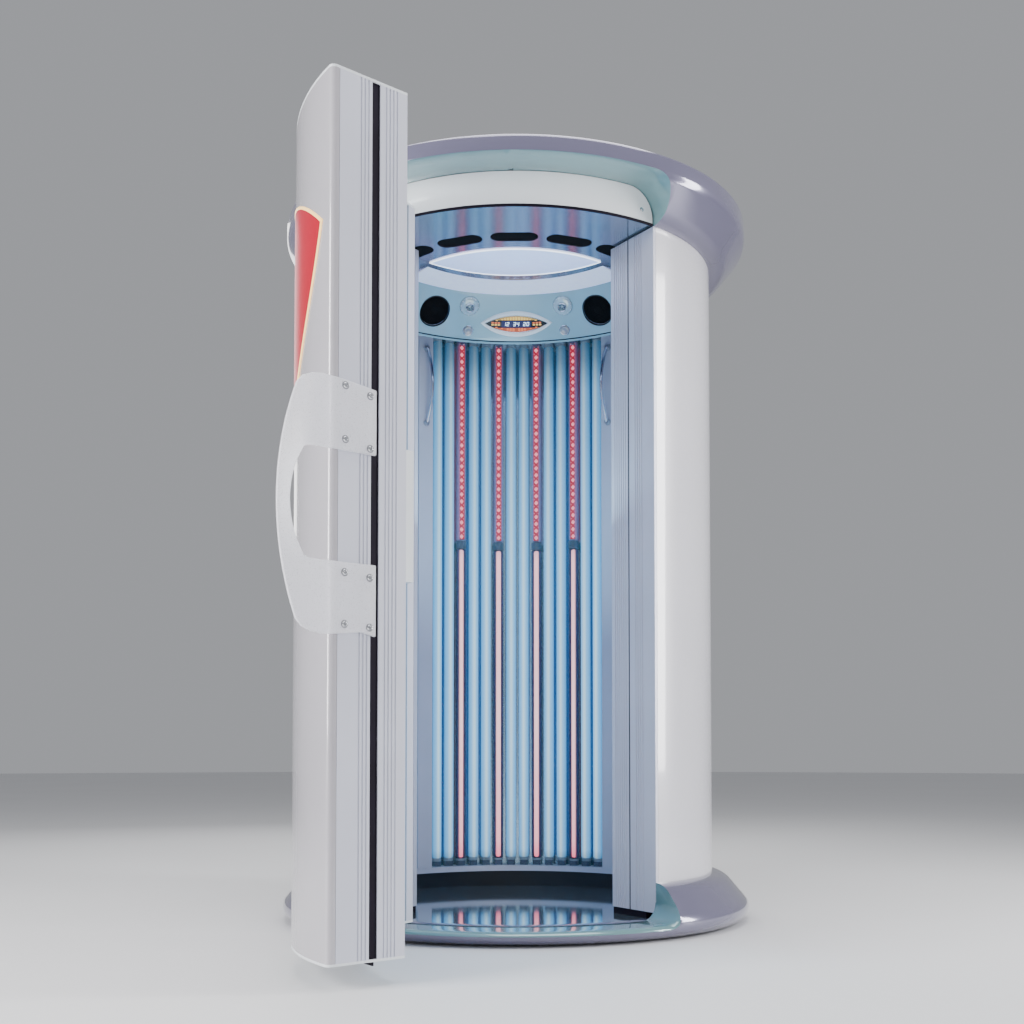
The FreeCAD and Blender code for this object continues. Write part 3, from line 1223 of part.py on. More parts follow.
def door(moving_leaves):
    """The door, in the frame of the closed doorway and swung open about its hinges."""
    shell = door_arc("door_skin", box_corners(
        "-Sizes.door_return", "0", "Plan.door_foot", "Plan.door_head"))
    doc.recompute()
    middle = Vector(shell.Placement.Base)
    rim = number("Sizes.front_radius")

    def outer(point):
        """Whether a point is on the door's outer face."""
        return abs((Vector(point.x, point.y, 0) - middle).Length - rim) < NEAR

    rounded(shell, "door_skin_round", upright_edges(shell.Shape, outer), "Sizes.door_round")
    sketch = new_sketch(shell, "door_skin_hollow", "XZ_Plane")
    radius = "Sizes.front_radius"
    outline(sketch, box_corners(f"{radius} - Sizes.door_return - Sizes.fit_gap",
                                f"{radius} - Sizes.door_skin",
                                "Plan.door_foot - Sizes.fit_gap", "Plan.door_head + Sizes.fit_gap"))
    doc.recompute()
    before = shell.Shape.Volume
    groove = feature(shell, "Groove", "door_skin_groove", sketch)
    groove.ReferenceAxis = (sketch, ["V_Axis"])
    groove.Midplane = True
    bind(groove, Angle="2 * (Plan.door_half - 1.6 * Sizes.door_skin / Sizes.front_radius * 180 / pi)")
    doc.recompute()
    if not shell.Shape.Volume < before / 2:
        raise ValueError("the door's shell is not hollow")
    node(shell, "door_shell")

    edge_extrusion(1, "free_edge", "door_free_profile")
    edge_extrusion(-1, "hinged_edge", "door_hinge_profile")
    seals = []
    for side in (1, -1):
        start = "-Sizes.seal_depth" if side > 0 else "0.4 * Sizes.seal_depth"
        seals.append(block(f"seal_{side + 1}", door_edge(
            side, "Sizes.front_radius - Sizes.seal_inset - Sizes.seal_width", start, "Plan.door_foot"),
            "Sizes.seal_width", "0.6 * Sizes.seal_depth", "Plan.door_height"))

    caps = []
    for name, low in (("foot", "Plan.door_bottom"), ("head", "Plan.door_head")):
        cap = door_arc(f"door_cap_{name}", box_corners(
            "-Sizes.door_depth", "0", low, f"{low} + Sizes.door_cap"))
        doc.recompute()
        rounded(cap, f"door_cap_{name}_round", upright_edges(cap.Shape, outer), "Sizes.door_round")
        caps.append(cap)
    node(combined("Part::Compound", "door_caps", caps), "door_end_caps")

    clear = ("(asin((Sizes.edge_width + Sizes.fit_gap)"
             " / (Sizes.front_radius - Sizes.door_depth)) / 1 deg)")
    back = "Sizes.door_lamp_inset - Sizes.lamp_radius - Sizes.door_mirror_gap"
    node(door_arc("door_mirror", box_corners(
        f"-({back})", f"-({back}) + Sizes.sheet_wall", "Plan.door_foot", "Plan.door_head"),
        clear=clear), "door_reflector")
    screen = "Sizes.door_depth - Sizes.fit_gap"
    node(door_arc("door_screen", box_corners(
        f"-({screen})", f"-({screen}) + Sizes.screen_wall", "Plan.door_foot", "Plan.door_head"),
        clear=clear), "door_acrylic")
    wiper = "Sizes.seal_inset + Sizes.seal_width / 2"
    seals.append(door_arc("door_lip", box_corners(
        f"-({wiper}) - Sizes.wiper_wall / 2", f"-({wiper}) + Sizes.wiper_wall / 2",
        "Plan.door_bottom - Sizes.wiper_drop",
        "Plan.door_bottom")))
    node(combined("Part::Compound", "seals", seals), "door_seals")
    node(combined("Part::Compound", "door_leaves", moving_leaves), "hinge_leaves")
    door_light()
    door_grips()


def door_light():
    """The red kite-shaped light let onto the door's outer face."""
    layer = door_arc("inlay_layer", box_corners(
        "0", "Sizes.inlay_rise", "Plan.inlay_low", "Plan.inlay_high"))
    place = (DOOR_SWING + " * " + arc_place("front", "Plan.door_shift") + " * "
             + "placement(vector(Sizes.front_radius * 0.6; 0; 0); rotation(vector(0; 0; 1); 90))"
             + " * " + "placement(vector(0; 0; 0); rotation(vector(1; 0; 0); 90))")
    form = new_body("inlay_form", place)
    sketch = new_sketch(form, "inlay_outline")
    half = "(Sizes.front_radius * sin(Sizes.inlay_half / Sizes.front_radius * 180 / pi))"
    rise = "(Sizes.inlay_corner - Sizes.inlay_top)"
    drop = "(Sizes.inlay_tip - Sizes.inlay_corner)"
    top = f"(({half} ^ 2 + {rise} ^ 2) / (2 * {rise}))"
    flank = f"(sqrt({half} ^ 2 + {drop} ^ 2) * 1.3)"
    outline(sketch, [(f"-{half}", "Plan.inlay_side"), ("0", "Plan.inlay_low"),
                     (half, "Plan.inlay_side")],
            {0: (flank, 1), 1: (flank, 1), 2: (top, 1)})
    pad(form, "inlay_pad", sketch, "Sizes.front_radius")
    node(common("inlay", layer, form), "door_inlay")


def door_grips():
    """Handle and inner pull on the free edge."""
    body = new_body("handle", door_edge(1))
    sketch = new_sketch(body, "handle_outline", "XZ_Plane")
    face = "Sizes.front_radius"
    low, high = "Sizes.handle_low", "Sizes.handle_high"
    inner = f"{face} - Sizes.handle_in"
    corner = f"{face} + Sizes.handle_out"
    grip = f"{corner} - Sizes.handle_grip"
    ear = f"{face} + Sizes.handle_ear"
    chamfer = "Sizes.handle_chamfer"
    span = f"(Sizes.handle_high - Sizes.handle_low - 2 * {chamfer})"
    bow = "(Sizes.handle_reach - Sizes.handle_out)"
    outer_bend = f"(({span} / 2) ^ 2 + {bow} ^ 2) / (2 * {bow})"
    hole = "(Sizes.handle_high - Sizes.handle_low - 2 * Sizes.handle_lug)"
    inner_bow = f"({bow} * 0.35)"
    inner_bend = f"(({hole} / 2) ^ 2 + {inner_bow} ^ 2) / (2 * {inner_bow})"
    outline(sketch, [
        (inner, low), (ear, low), (corner, f"{low} + {chamfer}"),
        (corner, f"{high} - {chamfer}"), (ear, high),
        (inner, f"{high} - Sizes.handle_slant"), (inner, f"{high} - Sizes.handle_lug"),
        (grip, f"{high} - Sizes.handle_lug"), (grip, f"{low} + Sizes.handle_lug"),
        (inner, f"{low} + Sizes.handle_lug")],
        {2: (outer_bend, 1), 7: (inner_bend, -1)})
    # The sketch plane's normal points back along Y, so the pad is reversed to stand on the edge.
    pad(body, "handle_pad", sketch, "Sizes.handle_plate")
    body.Group[-1].Reversed = True
    doc.recompute()
    corners = []
    for index, edge in enumerate(body.Shape.Edges, 1):
        across = abs(edge.Length - number("Sizes.handle_plate")) < NEAR
        if edge.Curve.TypeId == "Part::GeomLine" and across:
            corners.append(f"Edge{index}")
    rounded(body, "handle_corners", corners, "Sizes.handle_plate")
    node(body, "door_handle")

    pull_face = "Sizes.front_radius - Sizes.door_depth - Sizes.pull_reach"
    pull = new_body("pull", door_edge(1, z="Sizes.pull_low"))
    sketch = new_sketch(pull, "pull_outline")
    back = "Sizes.front_radius - Sizes.door_depth"
    lip = f"{pull_face} + Sizes.pull_wall"
    stem = "-Sizes.edge_width / 2"
    outline(sketch, [
        (pull_face, "-Sizes.pull_width"), (lip, "-Sizes.pull_width"), (lip, stem), (back, stem),
        (back, "-Sizes.rib_depth"), (pull_face, "-Sizes.rib_depth")])
    pad(pull, "pull_pad", sketch, "Sizes.pull_length")
    node(pull, "inner_pull")


# ---------------------------------------------------------------- assembly

base()
jambs()
outer_panels()
lamp_walls()
crown()
fan()
lamps()
ceiling()
control_panel()
ballasts()
door(hinges())
doc.recompute()


def check():
    """Stops if any object failed, or if a sub-part has no sound shape."""
    for thing in doc.Objects:
        if "Invalid" in thing.State or "Error" in thing.State:
            raise ValueError(f"{thing.Name} failed: {thing.State}")
    labels = [part.Label for part in nodes]
    if len(set(labels)) != len(labels):
        raise ValueError("two sub-parts have one name")
    for part in nodes:
        if part.Shape.isNull() or not part.Shape.isValid() or not part.Shape.Solids:
            raise ValueError(f"{part.Label} has no sound shape")


check()
os.makedirs("parts", exist_ok=True)
for part in nodes:
    part.Shape.exportStep(f"parts/{part.Label}.step")
    box = part.Shape.BoundBox
    print(f"{part.Label:22s} solids {len(part.Shape.Solids):3d}  litres {part.Shape.Volume / 1e6:8.3f}"
          f"  x {box.XMin:7.0f} {box.XMax:6.0f}  y {box.YMin:7.0f} {box.YMax:6.0f}"
          f"  z {box.ZMin:6.0f} {box.ZMax:6.0f}")
print(len(nodes), "sub-parts")
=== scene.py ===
import math

import bmesh
import bpy
from mathutils import Matrix, Vector


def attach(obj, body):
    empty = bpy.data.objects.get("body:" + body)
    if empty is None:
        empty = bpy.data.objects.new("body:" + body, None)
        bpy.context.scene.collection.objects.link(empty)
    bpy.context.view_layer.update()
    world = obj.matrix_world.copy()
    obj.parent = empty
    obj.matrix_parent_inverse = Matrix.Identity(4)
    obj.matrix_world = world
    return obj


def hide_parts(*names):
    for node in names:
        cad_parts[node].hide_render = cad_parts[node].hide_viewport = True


# Looks of a vertical tanning booth, built round its CAD frame. Metres and radians.

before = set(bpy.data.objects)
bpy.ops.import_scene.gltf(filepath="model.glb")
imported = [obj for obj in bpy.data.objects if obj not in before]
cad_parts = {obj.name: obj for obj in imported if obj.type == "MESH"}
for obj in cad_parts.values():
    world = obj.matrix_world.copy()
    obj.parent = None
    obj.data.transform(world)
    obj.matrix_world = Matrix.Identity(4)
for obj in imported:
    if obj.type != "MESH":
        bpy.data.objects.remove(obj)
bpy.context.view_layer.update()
collection = bpy.context.scene.collection
rad, sin, cos, pi = math.radians, math.sin, math.cos, math.pi

# ---- sizes shared with the CAD

FRONT_R, SIDE_R, BLEND = 0.72, 0.559, rad(36)
CENTRE_GAP = FRONT_R - SIDE_R
FRONT_Y, SIDE_X = CENTRE_GAP * cos(BLEND), CENTRE_GAP * sin(BLEND)
ARCS = {
    "front": (0.0, FRONT_Y, -pi / 2, FRONT_R, BLEND),
    "right": (SIDE_X, 0.0, 0.0, SIDE_R, pi / 2 - BLEND),
    "back": (0.0, -FRONT_Y, pi / 2, FRONT_R, BLEND),
    "left": (-SIDE_X, 0.0, pi, SIDE_R, pi / 2 - BLEND),
}
SEAM, FLARE_H, REACH, LIP, LIP_H = 2.14, 0.155, 0.118, 0.04, 0.046
SLOPE = rad(49)
LIP_MID = REACH - LIP
SHOULDER = (LIP_MID * sin(SLOPE) + LIP - (FLARE_H - LIP_H) * cos(SLOPE)) / (1 - cos(SLOPE))
CROWN_TOP = SEAM + FLARE_H
NOTCH_TOP, NOTCH_R = CROWN_TOP - 0.05, 0.088
CEILING = SEAM + 0.006
FLOOR = 0.045
RIM_ROUND = 0.012
JAMB_SHOW, SKIRT_END = 0.01, 0.03

LAMP_R, LAMP_PITCH, LAMP_INSET, DOOR_LAMP_INSET = 0.019, 0.0485, 0.102, 0.172
LAMP_FOOT, LAMP_HEAD, LED_FOOT, HOLDER = 0.138, 2.108, 1.345, 0.018
LAMP_COUNT = {"back": 14, "left": 14, "right": 14, "door": 11}
RED_EVERY = 3

PANEL_R, PANEL_AXIS, PANEL_SLOPE, PANEL_LONG, PANEL_HALF = 0.52, 0.463, rad(45), 0.195, rad(43)
PANEL_SKIN = 0.005
SPEAKER_R, SPEAKER_TURN, SPEAKER_DOWN = 0.054, rad(28.7), 0.0975
NOZZLE_R, NOZZLE_TURN, NOZZLE_DOWN = 0.035, rad(16.8), 0.06
BUTTON_R, BUTTON_TURN, BUTTON_DOWN = 0.015, rad(15.9), 0.15
BEZEL_L, BEZEL_DOWN, BEZEL_RISE = 0.28, 0.118, 0.006
DISPLAY_L, DISPLAY_W = 0.232, 0.071

HINGE_TURN = pi / 2 - BLEND - 0.03 / SIDE_R
HINGE_R = SIDE_R + 0.012
HINGE = Vector((-SIDE_X - HINGE_R * cos(HINGE_TURN), -HINGE_R * sin(HINGE_TURN), 0))
OPEN = rad(85.5)
SWING = Matrix.Translation(HINGE) @ Matrix.Rotation(-OPEN, 4, "Z") @ Matrix.Translation(-HINGE)
DOOR_HALF = BLEND - 0.0135 / FRONT_R
DOOR_SHIFT = -0.0065 / FRONT_R
DOOR_FOOT, DOOR_HEAD, DOOR_DEPTH = 0.064, 2.132, 0.206

# Point attribute of lamp glass: 1 on the side that faces the middle of the cabin, -1 behind; the
# lamp materials use it to paint a highlight on that side and shade away from it.
LIT_SIDE = "lit_side"


# ---- mesh helpers

def to_mesh(bm, name, *materials):
    """A mesh made of a bmesh, its normals outwards."""
    mesh = bpy.data.meshes.new(name)
    for material in materials:
        mesh.materials.append(material)
    bmesh.ops.recalc_face_normals(bm, faces=bm.faces)
    bm.to_mesh(mesh)
    bm.free()
    return mesh


def linked(name, data):
    """A new object of the scene."""
    obj = bpy.data.objects.new(name, data)
    collection.objects.link(obj)
    return obj


def publish(name, made, material, replaced=None, slot=None, body="cabin", angle=30):
    """Adds a bmesh or a mesh to the booth, with its material and its body; its slot is not used."""
    mesh = to_mesh(made, name) if isinstance(made, bmesh.types.BMesh) else made
    mesh.name = name
    mesh.materials.clear()
    mesh.materials.append(M[material])
    mesh.shade_smooth()
    mesh.set_sharp_from_angle(angle=rad(angle))
    obj = linked(name, mesh)
    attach(obj, body)
    if replaced:
        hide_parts(replaced)
    slot or material


def samples(names, step=0.02, trim=0.0):
    """Stations (centre x, centre y, angle, radius) along arcs, less a trim at each end."""
    made = []
    for index, name in enumerate(names):
        x, y, middle, radius, half = ARCS[name]
        low = middle - half + (trim if index == 0 else 0)
        high = middle + half - (trim if index == len(names) - 1 else 0)
        count = max(2, math.ceil((high - low) * radius / step))
        made += [(x, y, low + (high - low) * i / count, radius)
                 for i in range(0 if not made else 1, count + 1)]
    return made


def spot(station, off, z):
    """Point at an offset from the cabin's outer face."""
    x, y, angle, radius = station
    return Vector((x + (radius + off) * cos(angle), y + (radius + off) * sin(angle), z))


def skin(bm, rows, closed_rows=False, closed_columns=True, caps=True):
    """Quads between rows of points; returns the rows of vertices."""
    rows = [[bm.verts.new(point) for point in row] for row in rows]
    count = len(rows[0])
    for i in range(len(rows) if closed_rows else len(rows) - 1):
        a, b = rows[i], rows[(i + 1) % len(rows)]
        for j in range(count if closed_columns else count - 1):
            k = (j + 1) % count
            bm.faces.new((a[j], b[j], b[k], a[k]))
    if caps and not closed_rows and closed_columns:
        bm.faces.new(rows[0])
        bm.faces.new(list(reversed(rows[-1])))
    return rows


def sweep(stations, profile, closed=False):
    """A profile of (offset, height) points along stations."""
    bm = bmesh.new()
    rows = [[spot(station, off, z) for off, z in profile] for station in stations]
    skin(bm, rows[:-1] if closed else rows, closed)
    return bm


def lathe(bm, place, profile, sides, closed=False):
    """A profile of (radius, height) points turned about a place's Z axis; notes the lit side."""
    lit = bm.verts.layers.float.get(LIT_SIDE)
    turns = [2 * pi * i / sides for i in range(sides)]
    rows = skin(bm, [[place @ Vector((r * cos(turn), r * sin(turn), z)) for r, z in profile]
                     for turn in turns], True, closed, False)
    if lit:
        for turn, row in zip(turns, rows):
            for vert in row:
                vert[lit] = -cos(turn)
    if not closed:
        for end in (0, -1):
            if profile[end][0] > 1e-6:
                ring = [row[end] for row in rows]
                bm.faces.new(ring if end == 0 else list(reversed(ring)))
    bmesh.ops.remove_doubles(bm, verts=[v for row in rows for v in row], dist=1e-6)


def prism(bm, outline, place, low, high, inset=0.0):
    """An outline in a place's XY, from low to high, its upper edge drawn in by inset."""
    middle = sum((Vector(point) for point in outline), Vector((0, 0))) / len(outline)
    upper = []
    for point in outline:
        towards = middle - Vector(point)
        upper.append(Vector(point) + towards.normalized() * min(inset, towards.length))
    skin(bm, [[place @ Vector((x, y, z)) for x, y in points]
              for points, z in ((outline, low), (upper, high))])


def applied(bm, modifiers, *materials):
    """A mesh after modifiers given as (type, settings)."""
    obj = linked("work", to_mesh(bm, "work", *materials))
    for kind, settings in modifiers:
        modifier = obj.modifiers.new(kind, kind)
        for key, value in settings.items():
            setattr(modifier, key, value)
    bpy.context.view_layer.update()
    depsgraph = bpy.context.evaluated_depsgraph_get()
    result = bpy.data.meshes.new_from_object(obj.evaluated_get(depsgraph))
    bpy.data.objects.remove(obj)
    return result


def tool_object(bm, material):
    """A mesh kept aside as a tool for a boolean; the cut faces take its material."""
    return linked("tool", to_mesh(bm, "tool", M[material]))


def arc_points(cx, cy, radius, start, end, count):
    """Points of a circular arc, ends included."""
    turns = [start + (end - start) * i / count for i in range(count + 1)]
    return [(cx + radius * cos(turn), cy + radius * sin(turn)) for turn in turns]


def bulge(half, rise):
    """Radius and half angle of an arc with a half chord and a rise."""
    radius = (half ** 2 + rise ** 2) / (2 * rise)
    return radius, math.asin(half / radius)


def bevel(width, segments, angle):
    """Settings of a bevel on sharp edges."""
    return ("BEVEL", {"width": width, "segments": segments, "limit_method": "ANGLE",
                      "angle_limit": rad(angle), "harden_normals": False})


def arc_frame(arc, turn, radius, z=0.0, swing=False):
    """Place on an arc: X outwards, Y along the arc, Z up."""
    x, y, middle = ARCS[arc][:3]
    angle = middle + turn
    place = (Matrix.Translation((x + radius * cos(angle), y + radius * sin(angle), z))
             @ Matrix.Rotation(angle, 4, "Z"))
    return SWING @ place if swing else place


# ---- materials

class Shader:
    """A principled material and the nodes that feed it, in object space."""

    def __init__(self, name, **sockets):
        self.material = M[name] = bpy.data.materials.new(name)
        self.material.use_nodes = True
        self.tree = self.material.node_tree
        self.bsdf = self.tree.nodes["Principled BSDF"]
        self.into(**sockets)
        self.where = self.node("TexCoord", "Object")

    def feed(self, node, sockets):
        """Sets a node's inputs to values, or links them to the sockets given for them."""
        for key, value in sockets.items():
            socket = node.inputs[key.replace("_", " ")]
            if isinstance(value, bpy.types.NodeSocket):
                self.tree.links.new(value, socket)
            else:
                socket.default_value = value

    def into(self, **sockets):
        """Feeds the shader itself."""
        self.feed(self.bsdf, sockets)

    def node(self, kind, output, **sockets):
        """The output of a new node."""
        node = self.tree.nodes.new("ShaderNode" + kind)
        self.feed(node, sockets)
        return node.outputs[output]

    def noise(self, scale, detail=4, rough=0.55, at=None):
        """Noise over the surface."""
        return self.node("TexNoise", "Fac", Vector=at or self.where, Scale=scale, Detail=detail,
                         Roughness=rough)

    def ramp(self, source, *stops):
        """A colour ramp; a stop is (position, colour)."""
        node = self.tree.nodes.new("ShaderNodeValToRGB")
        elements = node.color_ramp.elements
        while len(elements) < len(stops):
            elements.new(0.5)
        for element, (position, colour) in zip(elements, stops):
            element.position = position
            element.color = (*colour, 1)
        self.feed(node, {"Fac": source})
        return node.outputs["Color"]

    def span(self, source, low, high, start=0.3, end=0.7):
        """Maps a factor's usual range to low..high."""
        return self.node("MapRange", "Result", Value=source, From_Min=start, From_Max=end,
                         To_Min=low, To_Max=high)

    def height(self, scale):
        """Height over the object's origin, as a share of scale."""
        level = self.node("SeparateXYZ", "Z", Vector=self.where)
        return self.span(level, 0, 1, 0, scale)

    def lit_side(self):
        """The lamp glass's lit-side attribute, by which its materials paint light and shade."""
        node = self.tree.nodes.new("ShaderNodeAttribute")
        node.attribute_name = LIT_SIDE
        return node.outputs["Fac"]

    def base(self, colour):
        """A base colour with faint, fine mottling."""
        self.into(Base_Color=self.ramp(self.noise(60), (0.3, shade(colour, 0.9)), (0.7, colour)))


def shade(colour, factor):
    """A lighter or darker colour."""
    return tuple(min(1.0, part * factor) for part in colour)


def finish(name, colour, rough, spread, cloud, grain, bump, distance=0.0004, stretch=None,
           tint=None, **sockets):
    """A coloured surface: slow clouds in its colour, fine grain in its gloss and relief."""
    made = Shader(name, **sockets)
    clouds = made.ramp(made.noise(cloud), (0.3, shade(colour, 1 - spread)),
                       (0.7, tint or shade(colour, 1 + spread)))
    at = made.node("Mapping", "Vector", Vector=made.where, Scale=stretch) if stretch else None
    fine = made.noise(grain, 6, 0.6, at)
    relief = made.node("Bump", "Normal", Height=fine, Strength=bump, Distance=distance)
    made.into(Base_Color=clouds, Roughness=made.span(fine, rough * 0.82, rough * 1.2),
              Normal=relief)


def glow(name, stops, strength, colour, rough=0.3, scale=1.0, **sockets):
    """A lit surface whose glow changes with height along stops."""
    made = Shader(name, Roughness=rough, Emission_Strength=strength, **sockets)
    made.base(colour)
    made.into(Emission_Color=made.ramp(made.height(scale), *stops))


def lamp_glow(name, across, along, strength, colour, scale, **sockets):
    """Lamp glass: its colour goes by the side of the tube, painting a highlight on the lit side and
    shade away from it; its strength goes by height.
    """
    made = Shader(name, **sockets)
    made.base(colour)
    side = made.span(made.lit_side(), 0, 1, -1, 1)
    level = made.ramp(made.height(scale), *[(at, (grey, grey, grey)) for at, grey in along])
    made.into(Emission_Color=made.ramp(side, *across),
              Emission_Strength=made.span(level, 0, strength, 0, 1))


def tinted_glass(name, colour, low, high, dense=0.94):
    """Tinted lamp glass, clear on its lit side and dense away from it, which paints shade on the
    tube's sides and back.
    """
    made = Shader(name, Roughness=0.1, Specular_IOR_Level=0.4)
    made.base(colour)
    made.into(Alpha=made.span(made.lit_side(), dense, 0.04, low, high))


def make_surfaces():
    """Painted, metal, plastic and clear surfaces."""
    coat = {"Coat_Weight": 1.0, "Coat_Roughness": 0.04}
    brushed = (40, 40, 0.6)
    finish("silver_shell", (0.17, 0.16, 0.245), 0.16, 0.05, 2.0, 900, 0.03, 0.0002,
           Metallic=0.35, **coat)
    # Painted teal light from the cabin's lamps, worn by the faces that the notches cut into the
    # silver mouldings.
    finish("notch_painted_light", (0.16, 0.3, 0.32), 0.2, 0.06, 3.0, 900, 0.03, 0.0002,
           Metallic=0.2, Coat_Weight=1.0, Coat_Roughness=0.05)
    finish("header_lacquer", (0.86, 0.88, 0.9), 0.16, 0.03, 3.0, 800, 0.02, 0.0002, **coat)
    finish("profile_white", (0.6, 0.61, 0.7), 0.34, 0.04, 3, 60, 0.06, 0.0002, brushed,
           Metallic=0.12)
    finish("door_lacquer", (0.44, 0.42, 0.455), 0.22, 0.04, 2.5, 700, 0.03, 0.0002,
           Metallic=0.05, Coat_Weight=0.8, Coat_Roughness=0.05)
    finish("panel_lacquer", (0.66, 0.65, 0.7), 0.26, 0.04, 2.0, 700, 0.03, 0.0002,
           Metallic=0.05, Coat_Weight=0.8, Coat_Roughness=0.06)
    finish("white_plastic", (0.74, 0.77, 0.8), 0.3, 0.04, 4, 500, 0.05)
    finish("white_aluminium", (0.62, 0.62, 0.72), 0.34, 0.05, 3, 60, 0.06, 0.0002, brushed,
           Metallic=0.2)
    finish("frame_steel", (0.1, 0.11, 0.12), 0.5, 0.15, 8, 300, 0.2)
    finish("steel_bright", (0.8, 0.81, 0.84), 0.12, 0.04, 12, 800, 0.02, Metallic=1.0)
    finish("steel_satin", (0.52, 0.53, 0.56), 0.34, 0.06, 12, 90, 0.06, 0.0002, (30, 30, 1),
           Metallic=1.0)
    finish("reflector_sheet", (0.55, 0.72, 0.84), 0.22, 0.05, 6, 60, 0.05, 0.0002,
           (20, 20, 0.4), Metallic=1.0)
    finish("floor_mirror", (0.5, 0.6, 0.66), 0.07, 0.05, 5, 400, 0.02, Metallic=0.9)
    finish("clear_acrylic", (0.3, 0.62, 0.7), 0.05, 0.03, 4, 200, 0.01, Alpha=0.06,
           Specular_IOR_Level=0.25)
    finish("rubber", (0.008, 0.005, 0.012), 0.6, 0.2, 20, 400, 0.2, Specular_IOR_Level=0.15)
    finish("black_plastic", (0.012, 0.014, 0.018), 0.35, 0.2, 10, 600, 0.15)
    finish("socket_plastic", (0.05, 0.045, 0.09), 0.4, 0.2, 10, 500, 0.1)
    # The handle's frosted plastic glows faintly (emission 0.1): painted light in a part that is no
    # lamp.
    finish("frosted_plastic", (0.88, 0.88, 0.92), 0.3, 0.03, 9, 500, 0.1,
           Transmission_Weight=0.45, IOR=1.3, Alpha=0.86, Emission_Color=(0.8, 0.8, 0.9, 1),
           Emission_Strength=0.1)
    finish("panel_teal", (0.29, 0.47, 0.55), 0.14, 0.06, 3, 700, 0.03, Metallic=0.1, **coat)
    finish("ceiling_satin", (0.34, 0.5, 0.58), 0.13, 0.12, 2.2, 500, 0.03,
           tint=(0.48, 0.42, 0.6), Metallic=0.85)
    finish("ballast_case", (0.55, 0.56, 0.56), 0.45, 0.08, 15, 120, 0.1, Metallic=0.6)
    finish("display_glass", (0.02, 0.02, 0.03), 0.08, 0.2, 10, 500, 0.02, Coat_Weight=1.0,
           Coat_Roughness=0.02)
    finish("speaker_cloth", (0.004, 0.004, 0.005), 0.8, 0.3, 40, 900, 0.5,
           Specular_IOR_Level=0.15)
    finish("nozzle_shell", (0.55, 0.7, 0.74), 0.1, 0.05, 8, 500, 0.02, Metallic=0.55,
           Coat_Weight=1.0, Coat_Roughness=0.03)
    finish("lamp_cap", (0.3, 0.34, 0.4), 0.35, 0.06, 20, 400, 0.05)
    finish("floor_stage", (0.72, 0.72, 0.73), 0.55, 0.015, 0.6, 300, 0.02)


def make_lights():
    """Lamp glass and every lit surface."""
    # UV glass: brighter on the side that faces the cabin's middle, as a reflector lamp is, and its
    # near-white last stops paint a highlight down that side; the glow dims at the tube ends, and
    # more at the top as painted shade under the control panel.
    lamp_glow(
        "uv_glow",
        [(0.0, (0.01, 0.05, 0.18)), (0.56, (0.02, 0.1, 0.28)), (0.66, (0.08, 0.32, 0.68)),
         (0.82, (0.14, 0.44, 0.84)), (0.95, (0.24, 0.56, 0.94)), (0.99, (0.5, 0.78, 1.0)),
         (1.0, (0.66, 0.88, 1.0))],
        [(0.0, 0.25), (0.064, 0.3), (0.085, 0.85), (0.25, 1.0), (0.45, 1.0), (0.75, 0.8),
         (0.9, 0.6), (0.955, 0.22), (1.0, 0.08)],
        1.35, (0.05, 0.14, 0.22), LAMP_HEAD + 0.02, Roughness=0.2, Specular_IOR_Level=0.3)
    glow("collagen_core", [
        (0.0, (0.3, 0.04, 0.12)), (0.1, (0.9, 0.1, 0.2)), (0.16, (1.0, 0.4, 0.46)),
        (0.5, (1.0, 0.6, 0.64)), (0.95, (0.98, 0.48, 0.54)), (1.0, (0.55, 0.25, 0.35))],
        1.9, (0.4, 0.2, 0.25), scale=LED_FOOT)
    # Dark purple glass round the pink core and lavender glass round the red strip; their dense
    # sides and backs are painted shade.
    tinted_glass("collagen_glass", (0.06, 0.012, 0.09), 0.74, 0.92)
    tinted_glass("led_tube", (0.34, 0.36, 0.66), 0.8, 0.93, 0.55)
    glow("red_strip", [(0.0, (0.85, 0.0, 0.03)), (1.0, (0.95, 0.0, 0.03))], 0.45,
         (0.25, 0.0, 0.01), 0.6, Specular_IOR_Level=0.05)
    glow("inlay_red", [
        (0.0, (0.75, 0.0, 0.02)), (0.62, (0.85, 0.01, 0.03)), (0.85, (0.9, 0.02, 0.1))],
        0.3, (0.3, 0.0, 0.01), scale=2.3, Specular_IOR_Level=0.2)
    # Name, glow at the foot and a metre up, its strength, base colour, roughness.
    for name, low, high, strength, colour, rough in (
            ("red_dot", (1.0, 0.36, 0.42), (1.0, 0.26, 0.32), 1.5, (0.6, 0.2, 0.2), 0.3),
            ("lens_white", (0.44, 0.56, 0.95), (0.5, 0.62, 1.0), 0.75, (0.55, 0.62, 0.85), 0.18),
            ("cove_white", (0.6, 0.68, 0.95), (0.66, 0.74, 1.0), 0.55, (0.6, 0.66, 0.8), 0.2),
            ("lens_rim", (0.8, 0.9, 1.0), (0.86, 0.94, 1.0), 2.0, (0.9, 0.93, 1.0), 0.2),
            ("inlay_edge", (1.0, 0.5, 0.14), (1.0, 0.66, 0.26), 1.5, (0.8, 0.5, 0.16), 0.2),
            ("gold_band", (0.6, 0.33, 0.06), (0.7, 0.4, 0.08), 0.3, (0.4, 0.24, 0.05), 0.3),
            ("orange_band", (0.75, 0.1, 0.02), (0.8, 0.14, 0.03), 0.32, (0.42, 0.06, 0.015), 0.3),
            ("gold_light", (1.0, 0.5, 0.08), (1.0, 0.6, 0.14), 0.9, (0.6, 0.35, 0.06), 0.3),
            ("orange_light", (1.0, 0.16, 0.04), (1.0, 0.2, 0.05), 0.8, (0.6, 0.12, 0.04), 0.3),
            ("digit_light", (0.55, 0.72, 1.0), (0.6, 0.78, 1.0), 2.2, (0.6, 0.7, 0.9), 0.3),
            ("lcd_blue", (0.01, 0.01, 0.1), (0.015, 0.02, 0.15), 0.5, (0.008, 0.01, 0.05), 0.2)):
        glow(name, [(0.0, low), (1.0, high)], strength, colour, rough)


M = {}
make_surfaces()
make_lights()


# ---- crown and base

